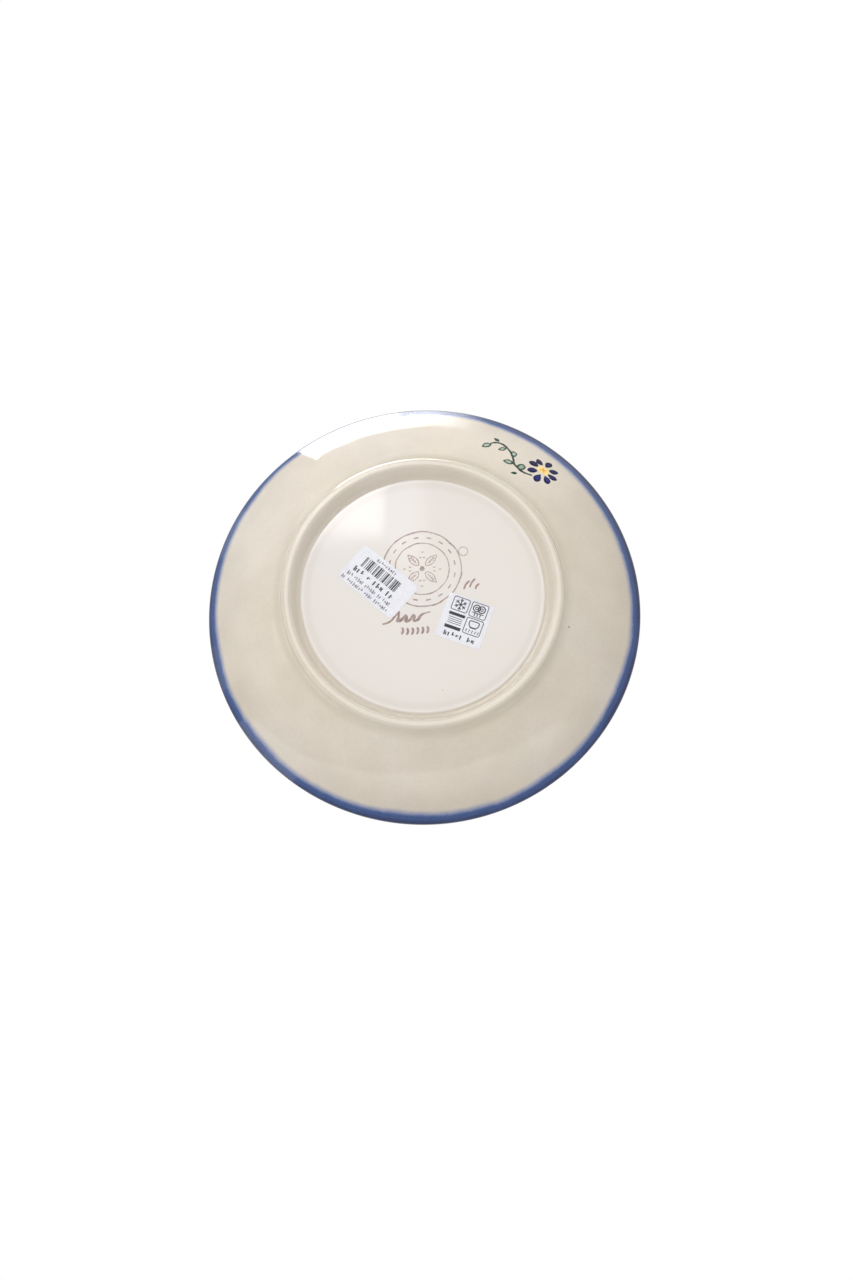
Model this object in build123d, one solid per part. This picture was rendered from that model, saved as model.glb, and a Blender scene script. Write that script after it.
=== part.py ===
from build123d import *
import math
import os

# A small round stoneware plate with a foot ring, a blue painted rim, a painted
# daisy and vine, a stamped base and two paper stickers.
# It lies on its foot ring. Origin: centre of the foot ring's standing plane.
# +Z points up, out of the eating side. +Y is the side the care sticker is on.

# ---------------------------------------------------------------- dimensions
RIM_R = 95.0  # outer radius of the plate
PLATE_H = 28.0  # table to the top of the lip
LIP_R = 2.2  # radius of the rounded lip
BASE_Z = 5.8  # height of the recessed base above the table
BASE_T = 4.9  # thickness of the base
BASE_R = 50.9  # radius of the flat part of the recessed base
LAND_W = 1.0  # width of the flat land the plate stands on
GROOVE_R = 1.3  # groove between base and foot ring
CREST_IN_R = 1.7  # inner rounding of the foot ring
CREST_OUT_R = 1.4  # outer rounding of the foot ring
FOOT_SLOPE_IN = 72.0  # slope of the ring's inner side, degrees
FOOT_SLOPE_OUT = 68.0  # slope of the ring's outer side, degrees
FILLET_R = 2.2  # fillet between foot ring and wall
SHOULDER_Z = 5.2  # height where the wall starts
WALL_A0 = 26.0  # slope of the wall where it starts, degrees
WELL_R = 32.0  # rounding between well floor and wall, eating side
WELL_A = 28.0  # slope at the end of that rounding, degrees
BAND_T = 0.25  # thickness of the blue rim glaze
BAND_R_UNDER = 89.2  # where the blue band starts, underside
BAND_R_FRONT = 87.8  # where the blue band starts, eating side
PAINT_T = 0.12  # thickness of brushed decoration
STAMP_T = 0.06  # thickness of the stamp's colour
PAPER_T = 0.15  # thickness of a sticker with its glue

STAMP_C = (-0.2, -10.6)  # centre of the stamp on the base
STAMP_RO = 16.9  # outer ring of the stamp
STAMP_RI = 11.7  # inner ring of the stamp
STAMP_LINE = 0.5  # line width of the stamp

PRICE_L, PRICE_W = 30.4, 18.2  # bar code sticker
PRICE_C = (-18.8, -4.9)
PRICE_ANGLE = 39.8
CARE_L = 19.7  # care symbol sticker, square
CARE_C = (17.6, 12.4)
CARE_ANGLE = 20.0

DAISY_C = (52.9, -59.2)  # centre of the daisy on the underside
FRONT_R = 79.6  # radius of the wreath on the eating side
FRONT_N = 6  # daisies in the wreath


def rad(a):
    return math.radians(a)


# ------------------------------------------------------------------- profile
# A profile is drawn in the (r, z) plane. A heading is the direction of travel
# in degrees from +r. "left" turns towards the plate's axis, "right" away.
def left(p, radius, a0, a1):
    c = (p[0] - radius * math.sin(rad(a0)), p[1] + radius * math.cos(rad(a0)))
    return c, (c[0] + radius * math.sin(rad(a1)), c[1] - radius * math.cos(rad(a1)))


def right(p, radius, a0, a1):
    c = (p[0] + radius * math.sin(rad(a0)), p[1] - radius * math.cos(rad(a0)))
    return c, (c[0] - radius * math.sin(rad(a1)), c[1] + radius * math.cos(rad(a1)))


def on_left(c, radius, a):
    return (c[0] + radius * math.sin(rad(a)), c[1] - radius * math.cos(rad(a)))


def on_right(c, radius, a):
    return (c[0] - radius * math.sin(rad(a)), c[1] + radius * math.cos(rad(a)))


def v(p):
    return Vector(p[0], 0, p[1])


def line(p, q):
    return Edge.make_line(v(p), v(q))


def arc(on, c, radius, a0, a1):
    return Edge.make_three_point_arc(
        v(on(c, radius, a0)), v(on(c, radius, (a0 + a1) / 2)), v(on(c, radius, a1))
    )


def turn(edges):
    """The closed profile turned once around the plate's axis."""
    return Solid.revolve(Face(Wire(edges)), 360, Axis.Z)


# Recessed base, its rounded edge and the groove beside the foot ring.
p0 = (0.0, BASE_Z)
p1 = (BASE_R, BASE_Z)
EDGE_R = 0.8
c_edge, p2 = left(p1, EDGE_R, 0, 40)
c_groove, p3 = right(p2, GROOVE_R, 40, -FOOT_SLOPE_IN)
crest_z = CREST_IN_R * (1 - math.cos(rad(FOOT_SLOPE_IN)))
p4 = (p3[0] + (p3[1] - crest_z) / math.tan(rad(FOOT_SLOPE_IN)), crest_z)
c_in, p5 = left(p4, CREST_IN_R, -FOOT_SLOPE_IN, 0)
p6 = (p5[0] + LAND_W, 0.0)
c_out, p7 = left(p6, CREST_OUT_R, 0, FOOT_SLOPE_OUT)
# Fillet, a short soft shoulder, then the wall.
SHOULDER_A0, SHOULDER_R = 14.0, 14.0
sh_dz = SHOULDER_R * (math.cos(rad(SHOULDER_A0)) - math.cos(rad(WALL_A0)))
fi_dz = FILLET_R * (math.cos(rad(SHOULDER_A0)) - math.cos(rad(FOOT_SLOPE_OUT)))
z8 = SHOULDER_Z - sh_dz - fi_dz
p8 = (p7[0] + (z8 - p7[1]) / math.tan(rad(FOOT_SLOPE_OUT)), z8)
c_fil, p9 = right(p8, FILLET_R, FOOT_SLOPE_OUT, SHOULDER_A0)
c_sh, p10 = left(p9, SHOULDER_R, SHOULDER_A0, WALL_A0)
# The wall is one arc that runs into the lip without a corner.
c_lip = (RIM_R - LIP_R, PLATE_H - LIP_R)
wall_a1 = WALL_A0
for _ in range(80):
    p11 = on_left(c_lip, LIP_R, wall_a1)
    chord = math.degrees(math.atan2(p11[1] - p10[1], p11[0] - p10[0]))
    wall_a1 = 0.5 * wall_a1 + 0.5 * (2 * chord - WALL_A0)
p11 = on_left(c_lip, LIP_R, wall_a1)
WALL_R = math.dist(p10, p11) / (2 * math.sin(rad((wall_a1 - WALL_A0) / 2)))
c_wall, _ = left(p10, WALL_R, WALL_A0, wall_a1)
# Eating side: well floor, rounding, wall, into the other side of the lip.
FLOOR_Z = BASE_Z + BASE_T
p12 = on_left(c_lip, LIP_R, wall_a1 + 180)
well_dr = WELL_R * math.sin(rad(WELL_A))
well_dz = WELL_R * (1 - math.cos(rad(WELL_A)))
f_chord = (WELL_A + wall_a1) / 2
f_dz = p12[1] - FLOOR_Z - well_dz
f_dr = f_dz / math.tan(rad(f_chord))
p15 = (p12[0] - f_dr - well_dr, FLOOR_Z)
c_well, p14 = left(p15, WELL_R, 0, WELL_A)
FRONT_WALL_R = math.hypot(f_dr, f_dz) / (2 * math.sin(rad((wall_a1 - WELL_A) / 2)))
c_front, _ = left(p14, FRONT_WALL_R, WELL_A, wall_a1)

# Headings where the blue band starts on each side.
band_a0 = math.degrees(math.asin((BAND_R_UNDER - c_wall[0]) / WALL_R))
band_a1 = math.degrees(math.asin((BAND_R_FRONT - c_front[0]) / FRONT_WALL_R))

# -------------------------------------------------------------- plate and band
# The band lies flush in a shallow step of the body, so the plate's outline is
# one smooth curve.
b0_out = on_left(c_wall, WALL_R, band_a0)
b0_in = on_left(c_wall, WALL_R - BAND_T, band_a0)
b1_out = on_left(c_front, FRONT_WALL_R, band_a1)
b1_in = on_left(c_front, FRONT_WALL_R + BAND_T, band_a1)
step_under = [
    arc(on_left, c_wall, WALL_R - BAND_T, band_a0, wall_a1),
    arc(on_left, c_lip, LIP_R - BAND_T, wall_a1, wall_a1 + 180),
    arc(on_left, c_front, FRONT_WALL_R + BAND_T, wall_a1, band_a1),
]
stoneware_body = turn(
    [
        line(p0, p1),
        arc(on_left, c_edge, EDGE_R, 0, 40),
        arc(on_right, c_groove, GROOVE_R, 40, -FOOT_SLOPE_IN),
        line(p3, p4),
        arc(on_left, c_in, CREST_IN_R, -FOOT_SLOPE_IN, 0),
        line(p5, p6),
        arc(on_left, c_out, CREST_OUT_R, 0, FOOT_SLOPE_OUT),
        line(p7, p8),
        arc(on_right, c_fil, FILLET_R, FOOT_SLOPE_OUT, SHOULDER_A0),
        arc(on_left, c_sh, SHOULDER_R, SHOULDER_A0, WALL_A0),
        arc(on_left, c_wall, WALL_R, WALL_A0, band_a0),
        line(b0_out, b0_in),
        *step_under,
        line(b1_in, b1_out),
        arc(on_left, c_front, FRONT_WALL_R, band_a1, WELL_A),
        arc(on_left, c_well, WELL_R, WELL_A, 0),
        line(p15, (0.0, FLOOR_Z)),
        line((0.0, FLOOR_Z), p0),
    ]
)
rim_band = turn(
    [
        line(b0_in, b0_out),
        arc(on_left, c_wall, WALL_R, band_a0, wall_a1),
        arc(on_left, c_lip, LIP_R, wall_a1, wall_a1 + 180),
        arc(on_left, c_front, FRONT_WALL_R, wall_a1, band_a1),
        line(b1_out, b1_in),
        *step_under,
    ]
)

# ---------------------------------------------------------- thin paint layers
# Each layer follows the surface it is painted on. A prism with the brush
# stroke's outline, cut with that layer, gives the stroke.
U0 = WALL_A0 + 0.6
under_layer = turn(
    [
        arc(on_left, c_wall, WALL_R, U0, band_a0 - 0.1),
        line(
            on_left(c_wall, WALL_R, band_a0 - 0.1),
            on_left(c_wall, WALL_R + PAINT_T, band_a0 - 0.1),
        ),
        arc(on_left, c_wall, WALL_R + PAINT_T, band_a0 - 0.1, U0),
        line(on_left(c_wall, WALL_R + PAINT_T, U0), on_left(c_wall, WALL_R, U0)),
    ]
)
F0 = WELL_A + 0.1
front_layer = turn(
    [
        arc(on_left, c_front, FRONT_WALL_R, F0, band_a1 - 0.1),
        line(
            on_left(c_front, FRONT_WALL_R, band_a1 - 0.1),
            on_left(c_front, FRONT_WALL_R - PAINT_T, band_a1 - 0.1),
        ),
        arc(on_left, c_front, FRONT_WALL_R - PAINT_T, band_a1 - 0.1, F0),
        line(
            on_left(c_front, FRONT_WALL_R - PAINT_T, F0),
            on_left(c_front, FRONT_WALL_R, F0),
        ),
    ]
)


def outline(points):
    """A flat face inside a smooth closed curve through the points."""
    edge = Edge.make_spline([Vector(x, y, 0) for x, y in points], periodic=True)
    return Face(Wire([edge]))


def petal(inner, outer, width, n=7):
    """Brush petal: narrow at its inner end, widest towards its round tip."""
    dx, dy = outer[0] - inner[0], outer[1] - inner[1]
    size = math.hypot(dx, dy)
    ux, uy = dx / size, dy / size
    sides = []
    for side in (1, -1):
        row = []
        for i in range(1, n):
            t = i / n
            half = width / 2 * math.sin(math.pi * t**1.35) ** 0.62
            row.append(
                (
                    inner[0] + ux * size * t - uy * half * side,
                    inner[1] + uy * size * t + ux * half * side,
                )
            )
        sides.append(row)
    return outline([inner] + sides[0] + [outer] + sides[1][::-1])


def leaf(inner, outer, width):
    """Pointed oval leaf."""
    dx, dy = outer[0] - inner[0], outer[1] - inner[1]
    size = math.hypot(dx, dy)
    ux, uy = dx / size, dy / size
    pts = []
    for t, h in ((0, 0), (0.25, 0.8), (0.5, 1), (0.8, 0.62), (1, 0), (0.8, -0.62), (0.5, -1), (0.25, -0.8)):
        half = width / 2 * h
        pts.append(
            (inner[0] + ux * size * t - uy * half, inner[1] + uy * size * t + ux * half)
        )
    return outline(pts)


def stroke(points, width, taper=0.45):
    """A brush line of the given width through the points, thinner at its ends."""
    curve = Edge.make_spline([Vector(x, y, 0) for x, y in points])
    n = max(8, 3 * len(points))
    a, b = [], []
    for i in range(n + 1):
        t = i / n
        p, d = curve.position_at(t), curve.tangent_at(t)
        half = width / 2 * (taper + (1 - taper) * math.sin(math.pi * t) ** 0.5)
        a.append((p.X - d.Y * half, p.Y + d.X * half))
        b.append((p.X + d.Y * half, p.Y - d.X * half))
    one = Edge.make_spline([Vector(x, y, 0) for x, y in a])
    two = Edge.make_spline([Vector(x, y, 0) for x, y in b[::-1]])
    cap = Edge.make_line(Vector(*a[-1], 0), Vector(*b[-1], 0))
    cup = Edge.make_line(Vector(*b[0], 0), Vector(*a[0], 0))
    return Face(Wire([one, cap, two, cup]))


def prism(face, z0, z1):
    return Solid.extrude(Pos(0, 0, z0) * face, Vector(0, 0, z1 - z0))


def paint(faces, layer):
    """Brush strokes on a layer, as separate solids."""
    out = []
    for face in faces:
        out += (prism(face, 2.0, 40.0) & layer).solids()
    return out


def joined(faces):
    """Flat faces as one outline, with overlaps removed."""
    total = faces[0]
    for f in faces[1:]:
        total = total + f
    return total.faces()


def save(name, solids):
    export_step(Compound(label=name, children=list(solids)), f"parts/{name}.step")


# Daisy on the underside: eight petals around a yellow centre.
DAISY_PETALS = [
    ((-2.2, -1.6), (-5.7, -4.4), 2.5),
    ((-0.2, -2.8), (-2.2, -6.5), 2.3),
    ((1.5, -2.2), (3.9, -5.2), 2.7),
    ((2.7, -0.5), (6.7, -0.1), 2.5),
    ((2.3, 2.0), (5.8, 4.8), 2.7),
    ((0.4, 3.2), (1.7, 7.5), 3.0),
    ((-1.5, 2.7), (-4.0, 7.0), 3.3),
    ((-2.7, 0.8), (-7.0, 1.1), 2.9),
]


def at(p, c=DAISY_C):
    return (p[0] + c[0], p[1] + c[1])


back_petals = paint([petal(at(i), at(o), w) for i, o, w in DAISY_PETALS], under_layer)
centre_outline = []
for k in range(12):
    a = rad(30 * k)
    rr = 1.9 if k % 2 else 1.6
    centre_outline.append(at((rr * math.cos(a), rr * math.sin(a))))
back_centre = paint([outline(centre_outline)], under_layer)

# Vine on the underside: a curling stem and small leaves.
STEM = [(46.2, -55.2), (43.6, -56.1), (41.0, -58.5), (39.4, -61.3), (39.8, -63.0),
        (38.8, -67.3), (36.5, -71.0), (33.2, -72.9), (30.3, -72.1), (29.2, -71.2)]
LEAVES = [
    ((29.6, -71.5), (26.2, -69.2), 2.2),
    ((33.6, -73.6), (31.6, -75.7), 1.3),
    ((37.0, -69.8), (33.2, -68.4), 1.7),
    ((38.8, -67.2), (41.1, -66.7), 2.6),
    ((39.5, -60.9), (35.4, -61.8), 2.1),
    ((41.2, -58.2), (44.4, -59.4), 2.6),
]
vine_faces = [stroke(STEM, 0.55)] + [leaf(*one) for one in LEAVES]
back_vine = paint(joined(vine_faces) + [leaf((40.6, -55.3), (38.4, -55.0), 1.0)], under_layer)

# Wreath on the eating side: daisies with a vine running between them.
front_petals, front_centres, front_vines = [], [], []
one_petals = paint(
    [
        petal(
            (FRONT_R + 2.3 * math.cos(rad(45 * k)), 2.3 * math.sin(rad(45 * k))),
            (FRONT_R + 6.2 * math.cos(rad(45 * k)), 6.6 * math.sin(rad(45 * k))),
            2.9,
        )
        for k in range(8)
    ],
    front_layer,
)
one_centre = paint([Pos(FRONT_R, 0) * Circle(1.8).face()], front_layer)


def polar(r, a):
    return (r * math.cos(rad(a)), r * math.sin(rad(a)))


one_stem = [polar(79.0, 7.0), polar(77.0, 12.0), polar(76.6, 17.0), polar(78.6, 23.0),
            polar(81.4, 29.0), polar(82.6, 35.0), polar(82.2, 41.0), polar(80.4, 48.0),
            polar(79.6, 53.0)]
one_leaves = [
    leaf(polar(76.8, 13.0), polar(73.9, 15.2), 2.2),
    leaf(polar(77.4, 19.5), polar(80.2, 17.4), 2.4),
    leaf(polar(79.3, 25.0), polar(76.4, 27.4), 2.4),
    leaf(polar(81.7, 30.5), polar(84.8, 29.4), 2.2),
    leaf(polar(82.4, 37.0), polar(79.4, 38.6), 2.4),
    leaf(polar(81.6, 43.5), polar(84.2, 45.6), 2.2),
    leaf(polar(80.2, 49.0), polar(77.4, 50.4), 2.0),
]
one_vine = paint(joined([stroke(one_stem, 0.7)] + one_leaves), front_layer)
for k in range(FRONT_N):
    spin = Rot(0, 0, 360 / FRONT_N * k)
    front_petals += [spin * s for s in one_petals]
    front_centres += [spin * s for s in one_centre]
    front_vines += [spin * s for s in one_vine]

# Plain stamp on the base: two rings, a ring of short dashes and a leaf cross.
z0, z1 = BASE_Z - STAMP_T, BASE_Z
stamp_faces = []
for radius in (STAMP_RO, STAMP_RI):
    ring = Circle(radius).face() - Circle(radius - STAMP_LINE).face()
    stamp_faces += [Pos(*STAMP_C) * f for f in ring.faces()]
for k in range(16):
    dash = Rot(0, 0, 22.5 * k + 11.25) * Pos((STAMP_RO + STAMP_RI - STAMP_LINE) / 2, 0) * Rectangle(0.5, 2.2).face()
    stamp_faces.append(Pos(*STAMP_C) * dash)
for k in range(4):
    a = 90 * k + 45
    stamp_faces.append(
        Pos(*STAMP_C) * leaf(polar(2.0, a), polar(8.6, a), 3.0)
    )
dot = Circle(1.1).face()
stamp_faces.append(Pos(*STAMP_C) * dot)
small = Circle(2.1).face() - Circle(1.7).face()
stamp_faces += [Pos(17.2, -18.4) * f for f in small.faces()]
stamp = [prism(f, z0, z1) for f in stamp_faces]

# Hand-brushed flourish and ticks beside the stamp.
WAVE = [(-15.8, 13.4), (-12.6, 12.0), (-10.0, 10.2), (-8.2, 12.2), (-6.0, 12.6),
        (-4.2, 10.4), (-2.2, 12.0), (0.2, 11.6), (2.6, 10.0)]
TICKS = [((-8.0, 15.6), (-8.4, 18.0)), ((-5.0, 15.9), (-5.3, 18.2)), ((-2.0, 16.0), (-2.2, 18.3)),
         ((1.0, 15.9), (0.9, 18.2))]
brush_faces = [stroke(WAVE, 0.8)]
for i, o in TICKS:
    mid = ((i[0] + o[0]) / 2 + 0.25, (i[1] + o[1]) / 2)
    brush_faces.append(stroke([i, mid, o], 0.7))
brush_faces.append(stroke([(17.8, -1.4), (19.8, -3.4), (21.4, -5.4)], 0.7))
brush_faces.append(stroke([(20.8, -0.4), (22.6, -2.2), (24.0, -4.2)], 0.7))
brush = [prism(f, z0, z1) for f in brush_faces]

# Paper stickers. They lie over the stamp, so the stamp is cut out of their back.
def sticker(length, width, corner, centre, angle):
    outline_face = RectangleRounded(length, width, corner).face()
    body = prism(Pos(*centre) * Rot(0, 0, angle) * outline_face, BASE_Z - PAPER_T, BASE_Z)
    for s in stamp + brush:
        body = body - s
    return body.solids()


price = sticker(PRICE_L, PRICE_W, 1.8, PRICE_C, PRICE_ANGLE)
care = sticker(CARE_L, CARE_L, 0.25, CARE_C, CARE_ANGLE)

# --------------------------------------------------------------------- export
os.makedirs("parts", exist_ok=True)
save("stoneware_body", [stoneware_body])
save("rim_band", [rim_band])
save("back_daisy_petals", back_petals)
save("back_daisy_centre", back_centre)
save("back_vine", back_vine)
save("back_stamp", stamp)
save("brush_marks", brush)
save("price_label", price)
save("care_label", care)
save("front_daisy_petals", front_petals)
save("front_daisy_centres", front_centres)
save("front_vine", front_vines)
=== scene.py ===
import bpy
import math
import numpy as np
from mathutils import Matrix, Vector


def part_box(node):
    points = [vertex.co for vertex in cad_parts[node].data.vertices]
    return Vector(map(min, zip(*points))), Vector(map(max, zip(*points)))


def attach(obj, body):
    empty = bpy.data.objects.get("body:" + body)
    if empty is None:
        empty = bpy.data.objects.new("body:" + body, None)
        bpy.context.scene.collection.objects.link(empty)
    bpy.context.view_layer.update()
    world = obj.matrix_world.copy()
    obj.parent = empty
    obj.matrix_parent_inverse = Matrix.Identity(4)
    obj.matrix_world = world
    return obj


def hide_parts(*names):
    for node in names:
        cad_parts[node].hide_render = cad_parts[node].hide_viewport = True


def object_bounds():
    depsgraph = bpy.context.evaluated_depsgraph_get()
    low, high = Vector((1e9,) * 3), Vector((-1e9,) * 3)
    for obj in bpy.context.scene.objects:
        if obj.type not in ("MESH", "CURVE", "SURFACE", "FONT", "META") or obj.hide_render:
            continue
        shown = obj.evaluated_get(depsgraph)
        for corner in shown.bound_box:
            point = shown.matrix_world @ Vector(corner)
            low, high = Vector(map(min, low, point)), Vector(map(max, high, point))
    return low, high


# A small decorated stoneware plate, seen from underneath. Everything is in the
# CAD frame, in metres: the plate lies on its foot ring at z = 0, eating side up.
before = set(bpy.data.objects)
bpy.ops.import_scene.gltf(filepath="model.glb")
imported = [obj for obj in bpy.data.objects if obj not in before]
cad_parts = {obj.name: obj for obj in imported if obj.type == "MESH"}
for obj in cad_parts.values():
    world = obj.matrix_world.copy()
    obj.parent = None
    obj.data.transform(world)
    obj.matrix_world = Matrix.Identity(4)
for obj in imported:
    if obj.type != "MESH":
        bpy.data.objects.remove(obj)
cad_low, cad_high = [Vector(c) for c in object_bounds()]

MM = 0.001
R_OUT = (cad_high.x - cad_low.x) / 2 / MM  # 95
H_TOP = (cad_high.z - cad_low.z) / MM  # 28
BASE_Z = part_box("back_stamp")[1].z / MM  # height of the recessed base, 5.8


# ======================================================================
# Profile of the plate, the same one the CAD model turns
# ======================================================================
def rad(a):
    return math.radians(a)


def left(p, radius, a0, a1):
    c = (p[0] - radius * math.sin(rad(a0)), p[1] + radius * math.cos(rad(a0)))
    return c, (c[0] + radius * math.sin(rad(a1)), c[1] - radius * math.cos(rad(a1)))


def right(p, radius, a0, a1):
    c = (p[0] + radius * math.sin(rad(a0)), p[1] - radius * math.cos(rad(a0)))
    return c, (c[0] - radius * math.sin(rad(a1)), c[1] + radius * math.cos(rad(a1)))


def on_left(c, radius, a):
    return (c[0] + radius * math.sin(rad(a)), c[1] - radius * math.cos(rad(a)))


def on_right(c, radius, a):
    return (c[0] - radius * math.sin(rad(a)), c[1] + radius * math.cos(rad(a)))


LIP_R = 2.2
BASE_T = 4.9
BASE_R = 50.9
LAND_W = 1.0
GROOVE_R = 1.3
CREST_IN_R, CREST_OUT_R = 1.7, 1.4
FS_IN, FS_OUT = 72.0, 68.0
FILLET_R = 2.2
SHOULDER_Z = 5.2
WALL_A0 = 26.0
WELL_R, WELL_A = 32.0, 28.0
BAND_T = 0.25
BAND_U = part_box("rim_band")[0]
EDGE_R = 0.8
SH_A0, SH_R = 14.0, 14.0

p1 = (BASE_R, BASE_Z)
c_edge, p2 = left(p1, EDGE_R, 0, 40)
c_groove, p3 = right(p2, GROOVE_R, 40, -FS_IN)
crest_z = CREST_IN_R * (1 - math.cos(rad(FS_IN)))
p4 = (p3[0] + (p3[1] - crest_z) / math.tan(rad(FS_IN)), crest_z)
c_in, p5 = left(p4, CREST_IN_R, -FS_IN, 0)
p6 = (p5[0] + LAND_W, 0.0)
c_out, p7 = left(p6, CREST_OUT_R, 0, FS_OUT)
sh_dz = SH_R * (math.cos(rad(SH_A0)) - math.cos(rad(WALL_A0)))
fi_dz = FILLET_R * (math.cos(rad(SH_A0)) - math.cos(rad(FS_OUT)))
z8 = SHOULDER_Z - sh_dz - fi_dz
p8 = (p7[0] + (z8 - p7[1]) / math.tan(rad(FS_OUT)), z8)
c_fil, p9 = right(p8, FILLET_R, FS_OUT, SH_A0)
c_sh, p10 = left(p9, SH_R, SH_A0, WALL_A0)
c_lip = (R_OUT - LIP_R, H_TOP - LIP_R)
A1 = WALL_A0
for _ in range(80):
    p11 = on_left(c_lip, LIP_R, A1)
    A1 = 0.5 * A1 + 0.5 * (
        2 * math.degrees(math.atan2(p11[1] - p10[1], p11[0] - p10[0])) - WALL_A0
    )
p11 = on_left(c_lip, LIP_R, A1)
WALL_R = math.dist(p10, p11) / (2 * math.sin(rad((A1 - WALL_A0) / 2)))
c_wall, _ = left(p10, WALL_R, WALL_A0, A1)
FLOOR_Z = BASE_Z + BASE_T
p12 = on_left(c_lip, LIP_R, A1 + 180)
well_dr = WELL_R * math.sin(rad(WELL_A))
well_dz = WELL_R * (1 - math.cos(rad(WELL_A)))
f_dz = p12[1] - FLOOR_Z - well_dz
f_dr = f_dz / math.tan(rad((WELL_A + A1) / 2))
p15 = (p12[0] - f_dr - well_dr, FLOOR_Z)
c_well, p14 = left(p15, WELL_R, 0, WELL_A)
FRONT_R = math.hypot(f_dr, f_dz) / (2 * math.sin(rad((A1 - WELL_A) / 2)))
c_front, _ = left(p14, FRONT_R, WELL_A, A1)
A_BU = math.degrees(math.asin((89.2 - c_wall[0]) / WALL_R))
A_BF = math.degrees(math.asin((87.8 - c_front[0]) / FRONT_R))


def arc(on, c, radius, a0, a1, n):
    """Points along one arc of the profile: (r, z, outward normal r, z)."""
    out = []
    for i in range(n + 1):
        a = a0 + (a1 - a0) * i / n
        r, z = on(c, radius, a)
        h = rad(a)
        out.append((r, z, math.sin(h), -math.cos(h)))
    return out


def seg(p, q, n):
    d = (q[0] - p[0], q[1] - p[1])
    size = math.hypot(*d)
    nr, nz = d[1] / size, -d[0] / size
    return [
        (p[0] + d[0] * i / n, p[1] + d[1] * i / n, nr, nz) for i in range(n + 1)
    ]


def chain(*parts):
    out = []
    for part in parts:
        for q in part:
            if out and math.dist(out[-1][:2], q[:2]) < 1e-6:
                continue
            out.append(q)
    return out


def under_height(r):
    """Height of the underside at radius r, outside the foot ring."""
    if r < p10[0]:
        if r > p9[0]:
            return c_sh[1] - math.sqrt(SH_R**2 - (r - c_sh[0]) ** 2)
        return BASE_Z
    if r <= p11[0]:
        return c_wall[1] - math.sqrt(WALL_R**2 - (r - c_wall[0]) ** 2)
    r = min(r, R_OUT - 1e-4)
    return c_lip[1] - math.sqrt(LIP_R**2 - (r - c_lip[0]) ** 2)


def front_height(r):
    """Height of the eating side at radius r."""
    if r <= p15[0]:
        return FLOOR_Z
    if r <= p14[0]:
        return c_well[1] - math.sqrt(WELL_R**2 - (r - c_well[0]) ** 2)
    if r <= p12[0]:
        return c_front[1] - math.sqrt(FRONT_R**2 - (r - c_front[0]) ** 2)
    r = min(r, R_OUT - 1e-4)
    return c_lip[1] + math.sqrt(LIP_R**2 - (r - c_lip[0]) ** 2)


# Fired ware is never quite true: the wall sags and the rim waves by about a
# tenth of a millimetre. Every layer on the wall goes through the same shift.
def warp(x, y, z):
    r = math.hypot(x, y)
    if r < 61.0:
        return x, y, z
    t = ((r - 61.0) / 34.0) ** 1.5
    a = math.atan2(y, x)
    dz = 0.13 * math.sin(2 * a + 0.7) + 0.08 * math.sin(3 * a + 2.1) + 0.03 * math.sin(7 * a + 0.4)
    dr = 0.10 * math.sin(2 * a + 2.6) + 0.05 * math.sin(5 * a + 1.2)
    k = 1 + dr * t / r
    return x * k, y * k, z + dz * t


# ======================================================================
# Mesh helpers
# ======================================================================
def new_object(name, verts, faces, attrs=None, sharp=None, smooth=True):
    mesh = bpy.data.meshes.new(name)
    mesh.from_pydata([tuple(c * MM for c in v) for v in verts], [], faces)
    mesh.validate()
    mesh.update()
    if smooth:
        mesh.polygons.foreach_set("use_smooth", [True] * len(mesh.polygons))
    if sharp:
        mesh.set_sharp_from_angle(angle=rad(sharp))
    for key, values in (attrs or {}).items():
        layer = mesh.attributes.new(key, "FLOAT", "POINT")
        layer.data.foreach_set("value", np.array(values, np.float32))
    obj = bpy.data.objects.new(name, mesh)
    bpy.context.scene.collection.objects.link(obj)
    return obj


# How much deeper the rim glaze reaches every 15 degrees, in millimetres
DIP = [1.46, 1.06, 0.41, 0.25, 0.25, 0.35, 0.31, 0.31, 0.32, 0.34, 0.43, 0.55, 0.21, 0.11, -0.55, -0.85, -0.40, 0.42, 0.69, 0.8, 1.13, 1.49, 1.79, 1.67]


def dip(a):
    """The rim was painted by hand, a little deeper on one side."""
    t = (a % (2 * math.pi)) / (2 * math.pi) * len(DIP)
    i = int(t)
    f = 0.5 - 0.5 * math.cos(math.pi * (t - i))
    return DIP[i % len(DIP)] * (1 - f) + DIP[(i + 1) % len(DIP)] * f


def lathe(name, profile, steps, closed, attr=None, sharp=35):
    """Turns a profile of (r, z, ...) around the axis. A point at r = 0 is one
    vertex. closed joins the last point to the first."""
    verts, rings, values = [], [], {k: [] for k in (attr or {})}
    for i, q in enumerate(profile):
        if q[0] < 1e-6:
            rings.append([len(verts)] * steps)
            verts.append((0.0, 0.0, q[1]))
            for k in values:
                values[k].append(attr[k][i])
            continue
        row = []
        for j in range(steps):
            a = 2 * math.pi * j / steps
            row.append(len(verts))
            verts.append(warp(q[0] * math.cos(a), q[0] * math.sin(a), q[1]))
            for k in values:
                values[k].append(attr[k][i] - dip(a))
        rings.append(row)
    faces = []
    n = len(rings)
    for i in range(n if closed else n - 1):
        a, b = rings[i], rings[(i + 1) % n]
        for j in range(steps):
            k = (j + 1) % steps
            quad = []
            for v in (a[j], a[k], b[k], b[j]):
                if v not in quad:
                    quad.append(v)
            if len(quad) > 2:
                faces.append(quad)
    return new_object(name, verts, faces, values, sharp)


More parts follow.
